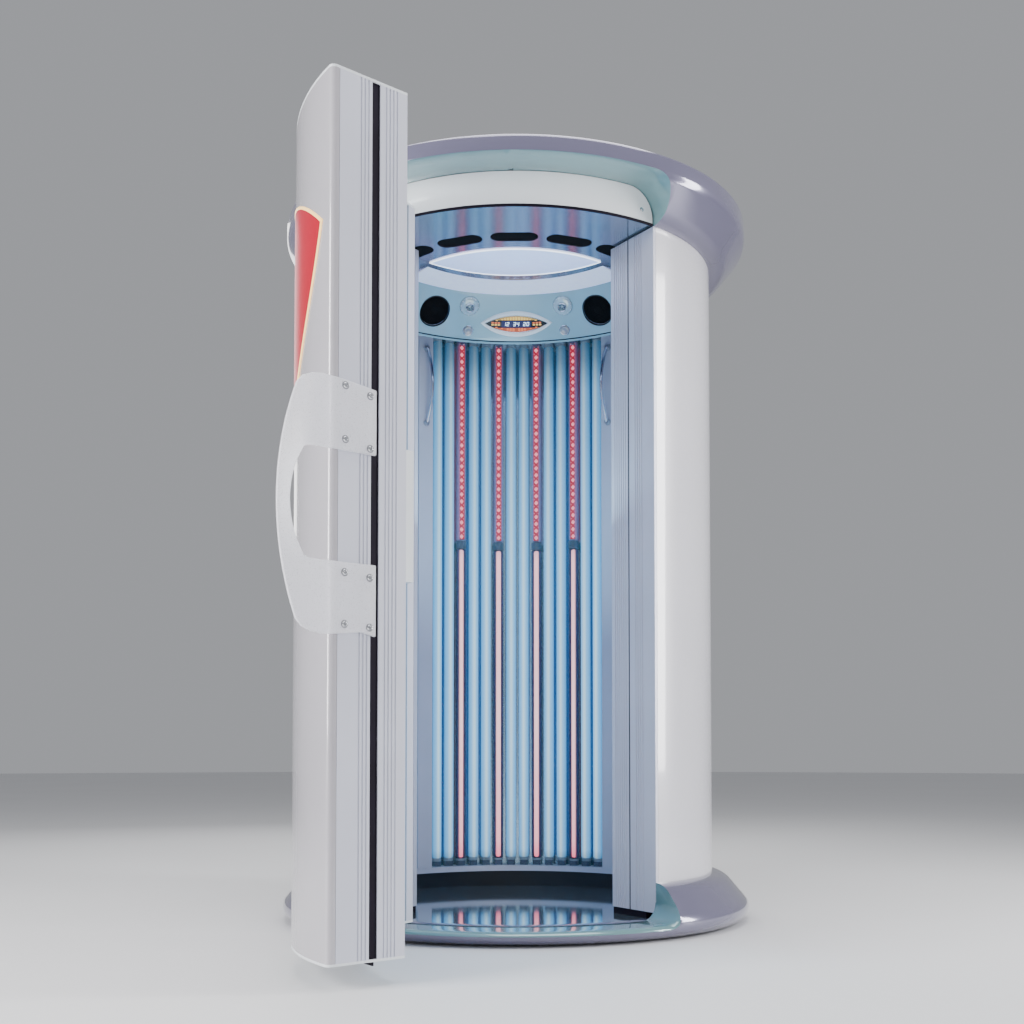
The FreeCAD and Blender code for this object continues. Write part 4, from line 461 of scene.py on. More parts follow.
def flare_profile(turn_up):
    """Smooth outer profile of crown or skirt, as (offset, height)."""
    rise = FLARE_H - LIP_H
    points = arc_points(0, SHOULDER, SHOULDER, -pi / 2, SLOPE - pi / 2, 9)
    points += arc_points(LIP_MID, rise, LIP, SLOPE - pi / 2, 0, 8)
    if turn_up:
        points += arc_points(REACH - RIM_ROUND, FLARE_H - RIM_ROUND, RIM_ROUND, 0, pi / 2, 6)
    else:
        points += arc_points(LIP_MID, rise, LIP, 0, pi / 2, 9)[1:]
    end = points[-1][1]
    points += [(-0.003, end), (-0.003, 0.0)]
    start, sign = (SEAM, 1) if turn_up else (FLARE_H, -1)
    return [(off, start + sign * z) for off, z in points]


def doorway_stations(past, left, right):
    """Stations from past the doorway's left end to its right end, close in the corners."""
    whole = past + 2 * BLEND * FRONT_R
    middle_steps, corner_steps = 56, 12
    fine = [1 - cos(pi / 2 * k / corner_steps) for k in range(corner_steps + 1)]
    runs = [left * share for share in fine]
    runs += [left + (whole - left - right) * i / middle_steps for i in range(1, middle_steps)]
    runs += [whole - right * share for share in reversed(fine)]
    made = []
    for run in runs:
        x, y, middle, radius, half = ARCS["left" if run < past else "front"]
        turn = half - (past - run) / radius if run < past else (run - past) / radius - half
        made.append((x, y, middle + turn, radius))
    return made


def notch_tool(stations, level, far, corners, offsets, crest=0.0):
    """Tool for a notch from a level edge to far, its corners round; crest rounds the edge."""
    ends = []
    for (x, y, angle, _), sign in ((stations[0], 1), (stations[-1], -1)):
        ends.append((Vector((x, y, 0)), Vector((-sin(angle), cos(angle), 0)) * sign))
    away = 1 if far > level else -1
    rows = []
    for station in stations:
        row = [spot(station, off, far) for off in offsets]
        for off in reversed(offsets):
            point = spot(station, off, level)
            lift = 0.0
            for (origin, inward), corner in zip(ends, corners):
                gap = max((point - origin).dot(inward), 0.0)
                if gap < corner:
                    lift = corner - math.sqrt(corner ** 2 - (corner - gap) ** 2)
            over = min(max(off - (REACH - crest), 0.0), crest) if crest else 0.0
            fall = (crest - math.sqrt(crest ** 2 - over ** 2)) * (1 - lift / max(corners))
            point.z += away * (lift - fall)
            row.append(point)
        rows.append(row)
    bm = bmesh.new()
    skin(bm, rows)
    return tool_object(bm, "notch_painted_light")


def moulding(name, profile, tool, replaced):
    """A flared moulding right round the booth, less the doorway's notch."""
    bm = sweep(samples(("front", "right", "back", "left")), profile, closed=True)
    mesh = applied(bm, [
        ("BOOLEAN", {"operation": "DIFFERENCE", "object": tool, "solver": "EXACT",
                     "material_mode": "TRANSFER"}),
        bevel(0.0035, 3, 40)], M["silver_shell"])
    bpy.data.objects.remove(tool)
    # The notch's cut faces wear the painted teal light; the rest is silver_shell.
    cut = [mesh.materials[face.material_index] == M["notch_painted_light"] for face in mesh.polygons]
    publish(name, mesh, "silver_shell", replaced, angle=40)
    mesh.materials.append(M["notch_painted_light"])
    for face, inside in zip(mesh.polygons, cut):
        face.material_index = int(inside)


def crown():
    """Crown moulding, notched over the header."""
    tool = notch_tool(doorway_stations(0.0, NOTCH_R, NOTCH_R), NOTCH_TOP, SEAM - 0.004,
                      (NOTCH_R, NOTCH_R), [-0.0084, 0.04, 0.08, 0.12, 0.24])
    moulding("crown_moulding", flare_profile(True), tool, "crown_shell")


def skirt():
    """Base moulding; its notch leaves a low lip before the floor, and clears the open door."""
    left, right, crest = 0.045, 0.052, 0.022
    offsets = [-0.0084, 0.03, 0.06, 0.096, 0.101, 0.106, 0.11, 0.1135, 0.116, 0.1175, 0.118,
               0.24]
    tool = notch_tool(doorway_stations(SKIRT_END, left, right), FLOOR, FLARE_H + 0.004,
                      (left, right), offsets, crest)
    moulding("base_moulding", flare_profile(False), tool, "base_skirt")


def sill():
    """Tread between the lip and the floor plate, and the panel's tongue in the notch."""
    low = LIP_H - LIP
    tread = [(-0.041, low), (-0.0032, low), (-0.0032, FLOOR - 0.0006), (-0.004, FLOOR),
             (-0.041, FLOOR)]
    publish("front_lip", sweep(samples(("front",)), tread), "silver_shell", "front_sill", angle=50)
    near, far = JAMB_SHOW / SIDE_R, SKIRT_END / SIDE_R
    x, y, middle, radius, half = ARCS["left"]
    stations = [(x, y, middle + half - far + (far - near) * i / 6, radius) for i in range(7)]
    tongue = [(-0.003, FLOOR + 0.001), (0.0, FLOOR + 0.001), (0.0, FLARE_H - 0.0006),
              (-0.0006, FLARE_H), (-0.003, FLARE_H)]
    publish("skirt_tongue", sweep(stations, tongue), "panel_lacquer", slot="silver_shell", angle=40)


crown()
skirt()
sill()


# ---- lamps

LAMP_CAP, COLLAGEN_CAP_R, SOCKET_R, CORE_R = 0.012, 0.0175, 0.0198, 0.0092
STRIP_HALF, STRIP_FRONT, STRIP_EDGE = 0.0115, -0.0105, 0.003
BEAD_PITCH, BEAD_R, SMALL_BEAD_R = 0.0272, 0.0078, 0.0019


def lamp_frames(bank):
    """(is red, place on the floor plane) of each lamp column; X points outwards."""
    arc = "front" if bank == "door" else bank
    ring = ARCS[arc][3] - (DOOR_LAMP_INSET if bank == "door" else LAMP_INSET)
    shift = DOOR_SHIFT if bank == "door" else 0
    count = LAMP_COUNT[bank]
    for index in range(count):
        turn = (index - (count - 1) / 2) * LAMP_PITCH / ring + shift
        yield (index % RED_EVERY == RED_EVERY - 1,
               arc_frame(arc, turn, ring, swing=bank == "door"))


def tube_profile(foot, head, radius):
    """A glass tube with drawn-in round ends."""
    end = 0.006
    turns = (0, 0.5, 1.0, pi / 2)
    lower = [(radius - end + end * sin(t), foot + end - end * cos(t)) for t in turns]
    upper = [(radius - end + end * cos(t), head - end + end * sin(t)) for t in turns]
    return [(0.0, foot)] + lower + upper + [(0.0, head)]


def end_cap(bm, place, radius, low, high, edge):
    """A round cap with a chamfered lower edge."""
    lathe(bm, place, [(0, low), (radius - edge, low), (radius, low + edge), (radius, high),
                      (0, high)], 20)


def lamp_piece(place, foot, head, parts):
    """Glass between two end caps."""
    lathe(parts["glass"], place, tube_profile(foot + LAMP_CAP, head - LAMP_CAP, LAMP_R), 20)
    for low in (foot + 0.0005, head - LAMP_CAP):
        end_cap(parts["caps"], place, LAMP_R - 0.0015, low, low + LAMP_CAP - 0.0006, 0.0015)


def red_column(place, foot, head, parts):
    """Red light strip in its clear tube, over a collagen lamp."""
    cap_foot = LED_FOOT - 1.5 * HOLDER
    lathe(parts["core"], place, tube_profile(foot + 0.012, cap_foot - 0.006, CORE_R), 16)
    lathe(parts["collagen"], place, tube_profile(foot + 0.008, cap_foot - 0.003, LAMP_R), 20)
    end_cap(parts["caps"], place, COLLAGEN_CAP_R, foot + 0.0005, foot + 0.007, 0.001)
    low, high = cap_foot - 0.002, LED_FOOT - 0.001
    lathe(parts["holder"], place, [
        (0, low), (SOCKET_R - 0.0013, low), (SOCKET_R, low + 0.002), (SOCKET_R, high - 0.002),
        (SOCKET_R - 0.0013, high), (0, high)], 20)
    lathe(parts["led_glass"], place, tube_profile(LED_FOOT, head - 0.001, LAMP_R), 20)
    half, front, floor = STRIP_HALF, STRIP_FRONT, STRIP_FRONT + 0.004
    channel = [(front, -half), (floor, -half + STRIP_EDGE), (floor, half - STRIP_EDGE),
               (front, half), (0.004, half), (0.004, -half)]
    prism(parts["strip"], channel, place, LED_FOOT + 0.008, head - 0.014)
    count = round((head - LED_FOOT - 0.04) / BEAD_PITCH)
    step = (head - LED_FOOT - 0.04) / count
    out = front - 0.0005
    small = out + 0.0012
    for index in range(count + 1):
        z = LED_FOOT + 0.017 + step * index
        bead(parts["dots"], place, out - 0.0022, out + 0.0035, 0, z, BEAD_R, BEAD_R * 1.15)
        for side in (-1, 1):
            bead(parts["dots"], place, small - SMALL_BEAD_R, small + SMALL_BEAD_R * 1.4,
                 side * BEAD_R, z + step / 2, SMALL_BEAD_R, SMALL_BEAD_R)


def bead(bm, place, tip, back, y, z, wide, high):
    """A four-sided bead, its tip in front of its base."""
    top = bm.verts.new(place @ Vector((tip, y, z)))
    ring = [bm.verts.new(place @ Vector((back, y + a, z + b)))
            for a, b in ((wide, 0), (0, high), (-wide, 0), (0, -high))]
    for i in range(4):
        bm.faces.new((top, ring[i], ring[(i + 1) % 4]))
    bm.faces.new(ring)


def holder_piece(bm, place, low, high):
    """A lamp socket with chamfered edges."""
    h, c = 0.015, 0.0035
    prism(bm, [(h - c, -h), (h, -h + c), (h, h - c), (h - c, h), (-h + c, h), (-h, h - c),
               (-h, -h + c), (-h + c, -h)], place, low, high, 0.0012)


def lamps(banks, body, prefix, foot, head):
    """All the lamps of some banks, merged into one piece of each kind."""
    # Part, piece, material, slot, node it replaces.
    table = [
        ("glass", "uv_tubes", "uv_glow", "lamp_glass", "uv_lamps"),
        ("caps", "lamp_end_caps", "lamp_cap", "socket_plastic", None),
        ("core", "collagen_light", "collagen_core", "pink_glass", None),
        ("collagen", "collagen_tubes", "collagen_glass", "pink_glass", "collagen_lamps"),
        ("holder", "lamp_sockets", "socket_plastic", "socket_plastic", "lamp_holders"),
        ("led_glass", "strip_tubes", "led_tube", "red_strip", None),
        ("strip", "red_strips", "red_strip", "red_strip", "red_light_strips"),
        ("dots", "red_dots", "red_dot", "red_strip", None),
    ]
    parts = {row[0]: bmesh.new() for row in table}
    for key in ("glass", "collagen", "led_glass"):
        parts[key].verts.layers.float.new(LIT_SIDE)
    for bank in banks:
        for red, place in lamp_frames(bank):
            holder_piece(parts["holder"], place, foot - HOLDER, foot)
            holder_piece(parts["holder"], place, head, head + HOLDER)
            (red_column if red else lamp_piece)(place, foot, head, parts)
    for key, name, material, slot, replaced in table:
        publish(prefix + name, parts[key], material, replaced and prefix + replaced, slot=slot,
                body=body, angle=10 if key == "dots" else 40)


lamps(("back", "left", "right"), "cabin", "", LAMP_FOOT, LAMP_HEAD)
lamps(("door",), "door", "door_", DOOR_FOOT + HOLDER, DOOR_HEAD - HOLDER)


# ---- control panel

def panel_point(turn, down, rise=0.0):
    """A point off the sloping panel's face."""
    radius = PANEL_R + down * cos(PANEL_SLOPE) - rise * sin(PANEL_SLOPE)
    z = CEILING - down * sin(PANEL_SLOPE) - rise * cos(PANEL_SLOPE)
    angle = pi / 2 - turn
    return Vector((radius * cos(angle), -PANEL_AXIS + radius * sin(angle), z))


def panel_place(turn, down, rise=0.0):
    """A frame on the panel: X along it to the right, Y down it, Z off its face."""
    origin = panel_point(turn, down, rise)
    y = (panel_point(turn, down + 0.01) - panel_point(turn, down)).normalized()
    z = (panel_point(turn, down, 0.01) - panel_point(turn, down)).normalized()
    x = y.cross(z)
    return Matrix(((x.x, y.x, z.x, origin.x), (x.y, y.y, z.y, origin.y),
                   (x.z, y.z, z.z, origin.z), (0, 0, 0, 1)))


def on_panel(u, v, rise=0.0):
    """A point from lengths along and down the panel, about the display's middle."""
    return panel_point(u / (PANEL_R + BEZEL_DOWN * cos(PANEL_SLOPE)), BEZEL_DOWN + v, rise)


def almond(length, width):
    """A pointed oval, anticlockwise."""
    bow, spread = bulge(length / 2, width / 2)
    lower = arc_points(0, bow - width / 2, bow, -pi / 2 - spread, -pi / 2 + spread, 28)[:-1]
    return lower + [(-x, -y) for x, y in lower]


def almond_ring(length, width, section, place):
    """A moulding round an almond; its section is (growth, rise) points that place puts in space."""
    bm = bmesh.new()
    rings = [[place(x, y, rise) for x, y in almond(length + 2 * grow, width + 2 * grow)]
             for grow, rise in section]
    skin(bm, list(zip(*rings)), True, True, False)
    return bm


def dome(outline, levels, place):
    """An outline shrunk and raised by levels of (share, rise), that place puts in space."""
    bm = bmesh.new()
    skin(bm, [[place(x * share, y * share, rise) for x, y in outline] for share, rise in levels])
    return bm


def panel_strip(section, reach):
    """A section of (down, rise) points swept along the panel as far as a turn to each side."""
    bm = bmesh.new()
    steps = 96
    turns = [-reach + 2 * reach * i / steps for i in range(steps + 1)]
    skin(bm, [[panel_point(turn, down, rise) for down, rise in section] for turn in turns])
    return bm


def control_panel():
    """The concave teal panel with a rolled lower edge, and the dark groove along that edge."""
    start = PANEL_SKIN / math.tan(PANEL_SLOPE)
    face = [(start + (PANEL_LONG - 0.003 - start) * i / 10, 0.0) for i in range(11)]
    bm = panel_strip(face + [(PANEL_LONG - 0.0008, -0.0008), (PANEL_LONG, -0.003),
                             (PANEL_LONG, -PANEL_SKIN), (start, -PANEL_SKIN)], PANEL_HALF)
    drills = bmesh.new()
    deep = 0.02
    for side in (-1, 1):
        for turn, down, radius in ((SPEAKER_TURN, SPEAKER_DOWN, SPEAKER_R),
                                   (NOZZLE_TURN, NOZZLE_DOWN, NOZZLE_R + 0.0004),
                                   (BUTTON_TURN, BUTTON_DOWN, BUTTON_R + 0.0004)):
            lathe(drills, panel_place(side * turn, down), [
                (0, -deep), (radius, -deep), (radius, deep), (0, deep)], 40)
    skin(drills, [[on_panel(x, y, level) for x, y in almond(DISPLAY_L, DISPLAY_W)]
                  for level in (-deep, deep)])
    tool = tool_object(drills, "panel_teal")
    mesh = applied(bm, [("BOOLEAN", {"operation": "DIFFERENCE", "object": tool,
                                     "solver": "EXACT"}), bevel(0.0012, 2, 50)])
    bpy.data.objects.remove(tool)
    publish("panel_shell", mesh, "panel_teal", "control_panel", angle=35)
    groove = panel_strip([(PANEL_LONG - 0.013, 0.0002), (PANEL_LONG - 0.0125, 0.0012),
                          (PANEL_LONG - 0.0095, 0.0012), (PANEL_LONG - 0.009, 0.0002)],
                         PANEL_HALF * 0.999)
    publish("panel_seam", groove, "rubber")


def speakers():
    """Black grilles with rings of slots, behind their round openings."""
    bm, rims = bmesh.new(), bmesh.new()
    profile = [(0.0, -0.0045), (0.012, -0.0047)]
    for ring in range(7):
        r = 0.0155 + ring * 0.0053
        sag = -0.005 - 0.0004 * ring
        profile += [(r, sag), (r + 0.0006, sag - 0.0012), (r + 0.002, sag - 0.0012),
                    (r + 0.0026, sag)]
    profile += [(SPEAKER_R - 0.001, -0.0078), (SPEAKER_R - 0.001, -0.014), (0.0, -0.014)]
    for side in (-1, 1):
        place = panel_place(side * SPEAKER_TURN, SPEAKER_DOWN)
        lathe(bm, place, profile, 48)
        lathe(rims, place, [(SPEAKER_R + x, z) for x, z in (
            (-0.0012, -0.004), (-0.0012, 0.0008), (0.0002, 0.0018), (0.0022, 0.0014),
            (0.003, 0.0002), (-0.0002, -0.004))], 56, True)
    publish("speaker_grilles", bm, "speaker_cloth", "speakers", slot="black_plastic")
    publish("speaker_rims", rims, "black_plastic")


def nozzle(side, name):
    """A turning nozzle: a drilled dome with three vanes, twelve grips and a bright ring."""
    place = panel_place(side * NOZZLE_TURN, NOZZLE_DOWN, -0.01)
    r, m, w = NOZZLE_R - 0.0002, 0.0126, PANEL_SKIN
    profile = [(m, 0.0), (r - 0.002, 0.0), (r, 0.002), (r, 2.1 * w)]
    profile += [(r * cos(t) ** 0.8, 2.1 * w + 0.0118 * sin(t)) for t in (0.3, 0.6, 0.9, 1.1)]
    profile += [(m + 0.005, 4.72 * w), (m + 0.003, 4.8 * w), (m + 0.0008, 4.74 * w),
                (m, 4.4 * w), (m * 0.86, 3.0 * w), (m * 0.8, 1.2 * w)]
    dome, grip = bmesh.new(), bmesh.new()
    lathe(dome, place, profile, 40, True)
    half, thin = m * 0.92, 0.0008
    for index in range(3):
        prism(dome, [(-half, -thin), (half, -thin), (half, thin), (-half, thin)],
              place @ Matrix.Rotation(index * pi / 3, 4, "Z"), 2.6 * w, 3.6 * w)
    for index in range(12):
        prism(grip, [(r * 0.8, -0.0014), (r * 0.95, -0.0018), (r * 0.95, 0.0018),
                     (r * 0.8, 0.0014)], place @ Matrix.Rotation(index * pi / 6, 4, "Z"),
              2.9 * w, 3.45 * w, 0.0006)
    body = f"nozzle_{name}"
    publish(f"nozzle_ball_{name}", dome, "nozzle_shell", f"air_nozzle_{name}", slot="panel_teal",
            body=body, angle=40)
    lathe(grip, place, [(m + 0.0008, 4.7 * w), (m + 0.003, 4.76 * w), (m + 0.0036, 5.3 * w),
                        (m + 0.0018, 5.8 * w), (m - 0.0004, 5.3 * w)], 32, True)
    publish(f"nozzle_grip_{name}", grip, "steel_bright", slot="panel_teal", body=body, angle=40)


def button(side, name):
    """A dished push button in a bright rim."""
    r, top = BUTTON_R - 0.0002, 0.016
    cap, rim = bmesh.new(), bmesh.new()
    lathe(cap, panel_place(side * BUTTON_TURN, BUTTON_DOWN, -0.01), [
        (0, 0), (r, 0), (r, top - 0.0035), (r - 0.001, top - 0.001), (r - 0.003, top),
        (r - 0.0055, top - 0.0004), (r - 0.0075, top - 0.0014), (0, top - 0.002)], 36)
    publish(f"button_cap_{name}", cap, "steel_satin", f"push_button_{name}", slot="panel_teal",
            body=f"button_{name}", angle=40)
    lathe(rim, panel_place(side * BUTTON_TURN, BUTTON_DOWN), [(BUTTON_R + x, z) for x, z in (
        (0.0006, -0.002), (0.0006, 0.0012), (0.0024, 0.0018), (0.0042, 0.0002),
        (0.0012, -0.002))], 36, True)
    publish(f"button_rim_{name}", rim, "steel_bright")


# The lit bars of each digit that the display shows.
SEGMENTS = {"0": "abcdef", "1": "bc", "2": "abged", "3": "abgcd", "4": "fgbc"}


def bar(bm, u0, v0, u1, v1, rise=0.0006, slant=0.0):
    """A thin raised bar on the display."""
    corners = [(u0, v0), (u1, v0), (u1, v1), (u0, v1)]
    skin(bm, [[on_panel(u - v * slant, v, height) for u, v in corners]
              for height in (rise * 0.2, rise)])


def display():
    """White almond bezel round a lit display: clock digits between gold and orange marks."""
    grow = (BEZEL_L - DISPLAY_L) / 2
    publish("display_frame", almond_ring(DISPLAY_L, DISPLAY_W, [
        (-0.0035, -0.003), (-0.0035, 0.0012), (-0.0015, 0.003), (0.004, 0.0052),
        (0.0085, BEZEL_RISE - 0.0002), (grow * 0.42, 0.004), (grow * 0.52, 0.0012),
        (grow * 0.54, 0.0001), (0.0, -0.003)], on_panel), "header_lacquer", "display_bezel",
            slot="white_plastic", angle=50)
    publish("display_trim", almond_ring(DISPLAY_L, DISPLAY_W, [
        (-0.0036, 0.0), (-0.0036, 0.0014), (-0.0052, 0.0014), (-0.0062, 0.0002)], on_panel),
            "steel_bright")

    levels = [(share, -0.0008) for share in (0.02, 0.35, 0.7, 1.0)] + [(1.0, -0.004)]
    publish("display_pane", dome(almond(DISPLAY_L - 0.001, DISPLAY_W - 0.001), levels, on_panel),
            "display_glass", "display_window")

    lcd, gold, orange, digits, gold_band, orange_band = (bmesh.new() for _ in range(6))
    strip = 0.008
    for index in range(13):
        u = (index - 6.5) * strip
        bar(lcd, u, -0.0125, u + strip, 0.0125, 0.0003)
    for bm, side in ((gold_band, -1), (orange_band, 1)):
        for index in range(21):
            u = (index - 10) * strip
            room = 0.0335 * (1 - (u / 0.098) ** 2)
            near, far = sorted((side * 0.014, side * max(room, 0.0145)))
            bar(bm, u - strip / 2, near, u + strip / 2, far, 0.0003)
    for index in range(15):
        u = -0.07 + index * 0.01
        room = 0.03 * (1 - (u / 0.1) ** 2)
        bar(gold, u - 0.0035, -room + 0.004, u + 0.0035, -0.015)
        if index % 2 == 0 or index in (5, 9):
            bar(orange, u - 0.0035, 0.015, u + 0.0035, room - 0.004)
    for side in (-1, 1):
        for index in range(3):
            u = side * (0.062 + index * 0.011)
            bar(orange, u - 0.004, -0.006, u + 0.004, -0.001)
            bar(gold, u - 0.004, 0.001, u + 0.004, 0.006)
    w, h, t = 0.0085, 0.007, 0.0016
    bars = {"a": (0, -h, w, -h + t), "d": (0, h - t, w, h), "g": (0, -t / 2, w, t / 2),
            "f": (0, -h, t, 0), "b": (w - t, -h, w, 0), "e": (0, 0, t, h), "c": (w - t, 0, w, h)}
    for index, digit in enumerate("12 34 20"):
        u = -0.046 + index * 0.0118
        for key in SEGMENTS.get(digit, ""):
            a, b, c, d = bars[key]
            bar(digits, u + a, b, u + c, d, slant=0.12)
    for name, bm, material in (
            ("lcd", lcd, "lcd_blue"), ("gold_band", gold_band, "gold_band"),
            ("orange_band", orange_band, "orange_band"), ("gold", gold, "gold_light"),
            ("orange", orange, "orange_light"), ("digits", digits, "digit_light")):
        publish("display_" + name, bm, material, slot="display_glass")


control_panel()
speakers()
for side, name in ((-1, "left"), (1, "right")):
    nozzle(side, name)
    button(side, name)
display()


# ---- ceiling

LENS_Y, LENS_L, LENS_W, LENS_DEPTH = -0.189, 0.56, 0.206, 0.009
SLOT_RING, SLOT_DEGREES, SLOT_HALF, SLOT_L = 0.502, 20, 0.037, 0.164


def on_ceiling(x, y, rise):
    """A point about the middle of the ceiling's light."""
    return Vector((x, LENS_Y + y, CEILING + rise))


def ceiling_light():
    """Domed diffuser with a bright rim."""
    levels = [(share, -LENS_DEPTH * (0.32 + 0.3 * (1 - share ** 2)))
              for share in (0.02, 0.25, 0.5, 0.75, 0.92, 1.0)] + [(1.0, -0.0005)]
    publish("light_diffuser", dome(almond(LENS_L - 0.008, LENS_W - 0.008), levels, on_ceiling),
            "lens_white", "ceiling_light")
    publish("light_rim", almond_ring(LENS_L, LENS_W, [
        (-0.004, -0.0005), (-0.004, -0.0036), (-0.0028, -0.0044), (-0.0012, -0.0042),
        (0.0, -0.003), (0.0, -0.0005)], on_ceiling), "lens_rim", slot="lens_white")


def slot_boxes():
    """Dark ducts over the ceiling's air slots."""
    bm = bmesh.new()
    half, ends = SLOT_HALF, SLOT_L / 2 - SLOT_HALF
    outline = arc_points(0, ends, half, 0, pi, 12) + arc_points(0, -ends, half, pi, 2 * pi, 12)
    for step in range(-2, 3):
        place = arc_frame("front", rad(step * SLOT_DEGREES), SLOT_RING, CEILING)
        prism(bm, outline, place, 0.0045, 0.02)
    publish("slot_ducts", bm, "speaker_cloth", slot="black_plastic")


def header_trim():
    """Dark gasket under the header."""
    profile = [(-0.0035, SEAM - 0.0005), (0.0015, SEAM - 0.0005), (0.003, SEAM + 0.003),
               (0.0015, SEAM + 0.0062), (-0.0002, SEAM + 0.0066)]
    publish("header_gasket", sweep(samples(("front",), trim=0.004), profile), "rubber", angle=40)


ceiling_light()
slot_boxes()
header_trim()


# ---- screws

def screws(name, places, radius, proud=0.0022, body="cabin"):
    """Domed cross-head screws with washers, each standing on a place's XY plane."""
    bm = bmesh.new()
    for place in places:
        lathe(bm, place, [
            (0, 0), (radius * 1.5, 0), (radius * 1.5, 0.0006), (radius * 1.05, 0.001),
            (radius, 0.0014), (radius * 0.8, proud), (radius * 0.42, proud + 0.0003),
            (radius * 0.36, proud - 0.0008), (0, proud - 0.001)], 20)
    publish(name, bm, "steel_bright", body=body)


def facing(place, axis):
    """A place turned so that Z points along one of its own axes."""
    turn, about = {"x": (pi / 2, "Y"), "-x": (-pi / 2, "Y"), "y": (-pi / 2, "X")}[axis]
    return place @ Matrix.Rotation(turn, 4, about)


HEADER_SCREW_TURN, HEADER_SCREW_UP = rad(32.4), 0.04
screws("header_screws", [
    facing(arc_frame("front", side * HEADER_SCREW_TURN, FRONT_R, SEAM + HEADER_SCREW_UP), "x")
    for side in (-1, 1)], 0.0045)


# ---- door

DOOR_EDGE = DOOR_SHIFT + DOOR_HALF


def edge_place(x, z, y=0.0):
    """A place on the door's free edge: X outwards, Y off the edge, Z up."""
    return (arc_frame("front", DOOR_EDGE, FRONT_R + x, z, swing=True)
            @ Matrix.Translation((0, y, 0)))


def bowed(z0, z1, x, bow):
    """Points along an arc that bulges outwards by bow between two heights."""
    radius, spread = bulge((z1 - z0) / 2, bow)
    return arc_points(x - radius + bow, (z0 + z1) / 2, radius, -spread, spread, 28)


def door_handle():
    """Frosted D-shaped handle, one plate bent out of the door's edge."""
    low, high, tail = 0.811, 1.405, -0.118
    corner, reach, grip, width = 0.092, 0.14, 0.076, 0.032
    hole_low, hole_high = low + 0.168, high - 0.168
    # Pairs of a point on the outer edge and one on the hole's, from the upper tail to the bow.
    upper = [((tail, high - 0.014), (tail, hole_high)),
             ((-0.08, high - 0.009), (-0.08, hole_high)),
             ((-0.04, high - 0.004), (-0.04, hole_high)),
             ((0.0, high - 0.001), (-0.005, hole_high)),
             ((0.026, high), (grip - 0.048, hole_high)),
             ((0.05, high - 0.004), (grip - 0.024, hole_high - 0.001)),
             ((0.074, high - 0.014), (grip - 0.006, hole_high - 0.006))]
    bows = zip(reversed(bowed(low + 0.03, high - 0.03, corner - 0.004, reach - corner)),
               reversed(bowed(hole_low + 0.018, hole_high - 0.018, grip,
                              reach - 0.004 - width - grip)))
    lower = [((a, low + high - b), (c, hole_low + hole_high - d)) for (a, b), (c, d)
             in reversed(upper)]
    lower[-1] = ((tail, low), (tail, hole_low))
    bm = bmesh.new()
    place = edge_place(0, 0)
    near, far = 0.0002, 0.0096
    skin(bm, [[place @ Vector((x, y, z)) for (x, z), y in (
        (a, near), (b, near), (b, far), (a, far))] for a, b in upper + list(bows) + lower])
    publish("grip_plate", applied(bm, [bevel(0.003, 3, 50)]), "frosted_plastic", "door_handle",
            body="door", angle=40)
    spots = ((-0.034, 1.387), (-0.1, 1.374), (-0.034, 1.262), (-0.1, 1.25),
             (-0.034, 0.955), (-0.1, 0.948), (-0.034, 0.836), (-0.1, 0.832))
    screws("grip_screws", [facing(edge_place(x, z, far + 0.0002), "y") for x, z in spots],
           0.0062, 0.0034, "door")


def inlay():
    """Red lit glass on the door, with a warm bright edge."""
    half = FRONT_R * sin(0.396 / FRONT_R)
    tip, corner, top = SEAM - 0.855, SEAM - 0.355, SEAM - 0.206
    bow, spread = bulge(half, top - corner)
    # The right flank bulges about a centre to the left of its chord.
    flank = math.hypot(half, corner - tip) * 1.3
    a, b = Vector((0, tip)), Vector((half, corner))
    chord = b - a
    depth = math.sqrt(flank ** 2 - (chord.length / 2) ** 2)
    centre = (a + b) / 2 + Vector((-chord.y, chord.x)).normalized() * depth
    start, end = (math.atan2(p.y - centre.y, p.x - centre.x) for p in (a, b))
    right = arc_points(centre.x, centre.y, flank, start, end, 18)[:-1]
    crest = arc_points(0, top - bow, bow, pi / 2 - spread, pi / 2 + spread, 24)
    outline = right + crest + [(-x, z) for x, z in reversed(right)][:-1]

    def on_door(x, z, lift):
        """A point off the open door's face."""
        turn = math.asin(x / FRONT_R) + DOOR_SHIFT
        return SWING @ spot((0, FRONT_Y, -pi / 2 + turn, FRONT_R), lift, z)

    def ring(inset, lift):
        """The outline drawn in by inset, and lifted off the door's face."""
        made = []
        for i, point in enumerate(outline):
            here = Vector(point)
            before, after = Vector(outline[i - 1]), Vector(outline[(i + 1) % len(outline)])
            a, b = (here - before).normalized(), (after - here).normalized()
            normal = Vector((-a.y - b.y, a.x + b.x))
            p = here + normal.normalized() * inset * min(2 / max(normal.length, 0.1), 2.5)
            made.append(on_door(p.x, p.y, lift))
        return made

    def flank_height(x):
        """Height of the outline's lower side at x."""
        x = min(max(abs(x), right[0][0]), half)
        path = right + [(half, corner)]
        for (a, low), (b, high) in zip(path, path[1:]):
            if a <= x <= b:
                return low + (high - low) * (x - a) / (b - a)
        return corner

    red, edge = bmesh.new(), bmesh.new()
    margin, foot, face = 0.003, 0.0003, 0.002
    rows = []
    for i in range(49):
        x = (half - margin) * (i / 24 - 1)
        high = top - bow + math.sqrt(bow ** 2 - x ** 2) - margin
        low = min(flank_height(x) + margin, high - 0.001)
        rows.append([on_door(x, z, lift) for z, lift in (
            (low, foot), (low, face), (high, face), (high, foot))])
    skin(red, rows)
    section = ((0.0075, foot), (0.0075, 0.0024), (0.006, 0.003), (0.0014, 0.0028),
               (0.0, 0.0012), (0.0, foot))
    skin(edge, [ring(inset, lift) for inset, lift in section], caps=False)
    publish("inlay_glass", red, "inlay_red", "door_inlay", body="door")
    publish("inlay_border", edge, "inlay_edge", slot="inlay_red", body="door")


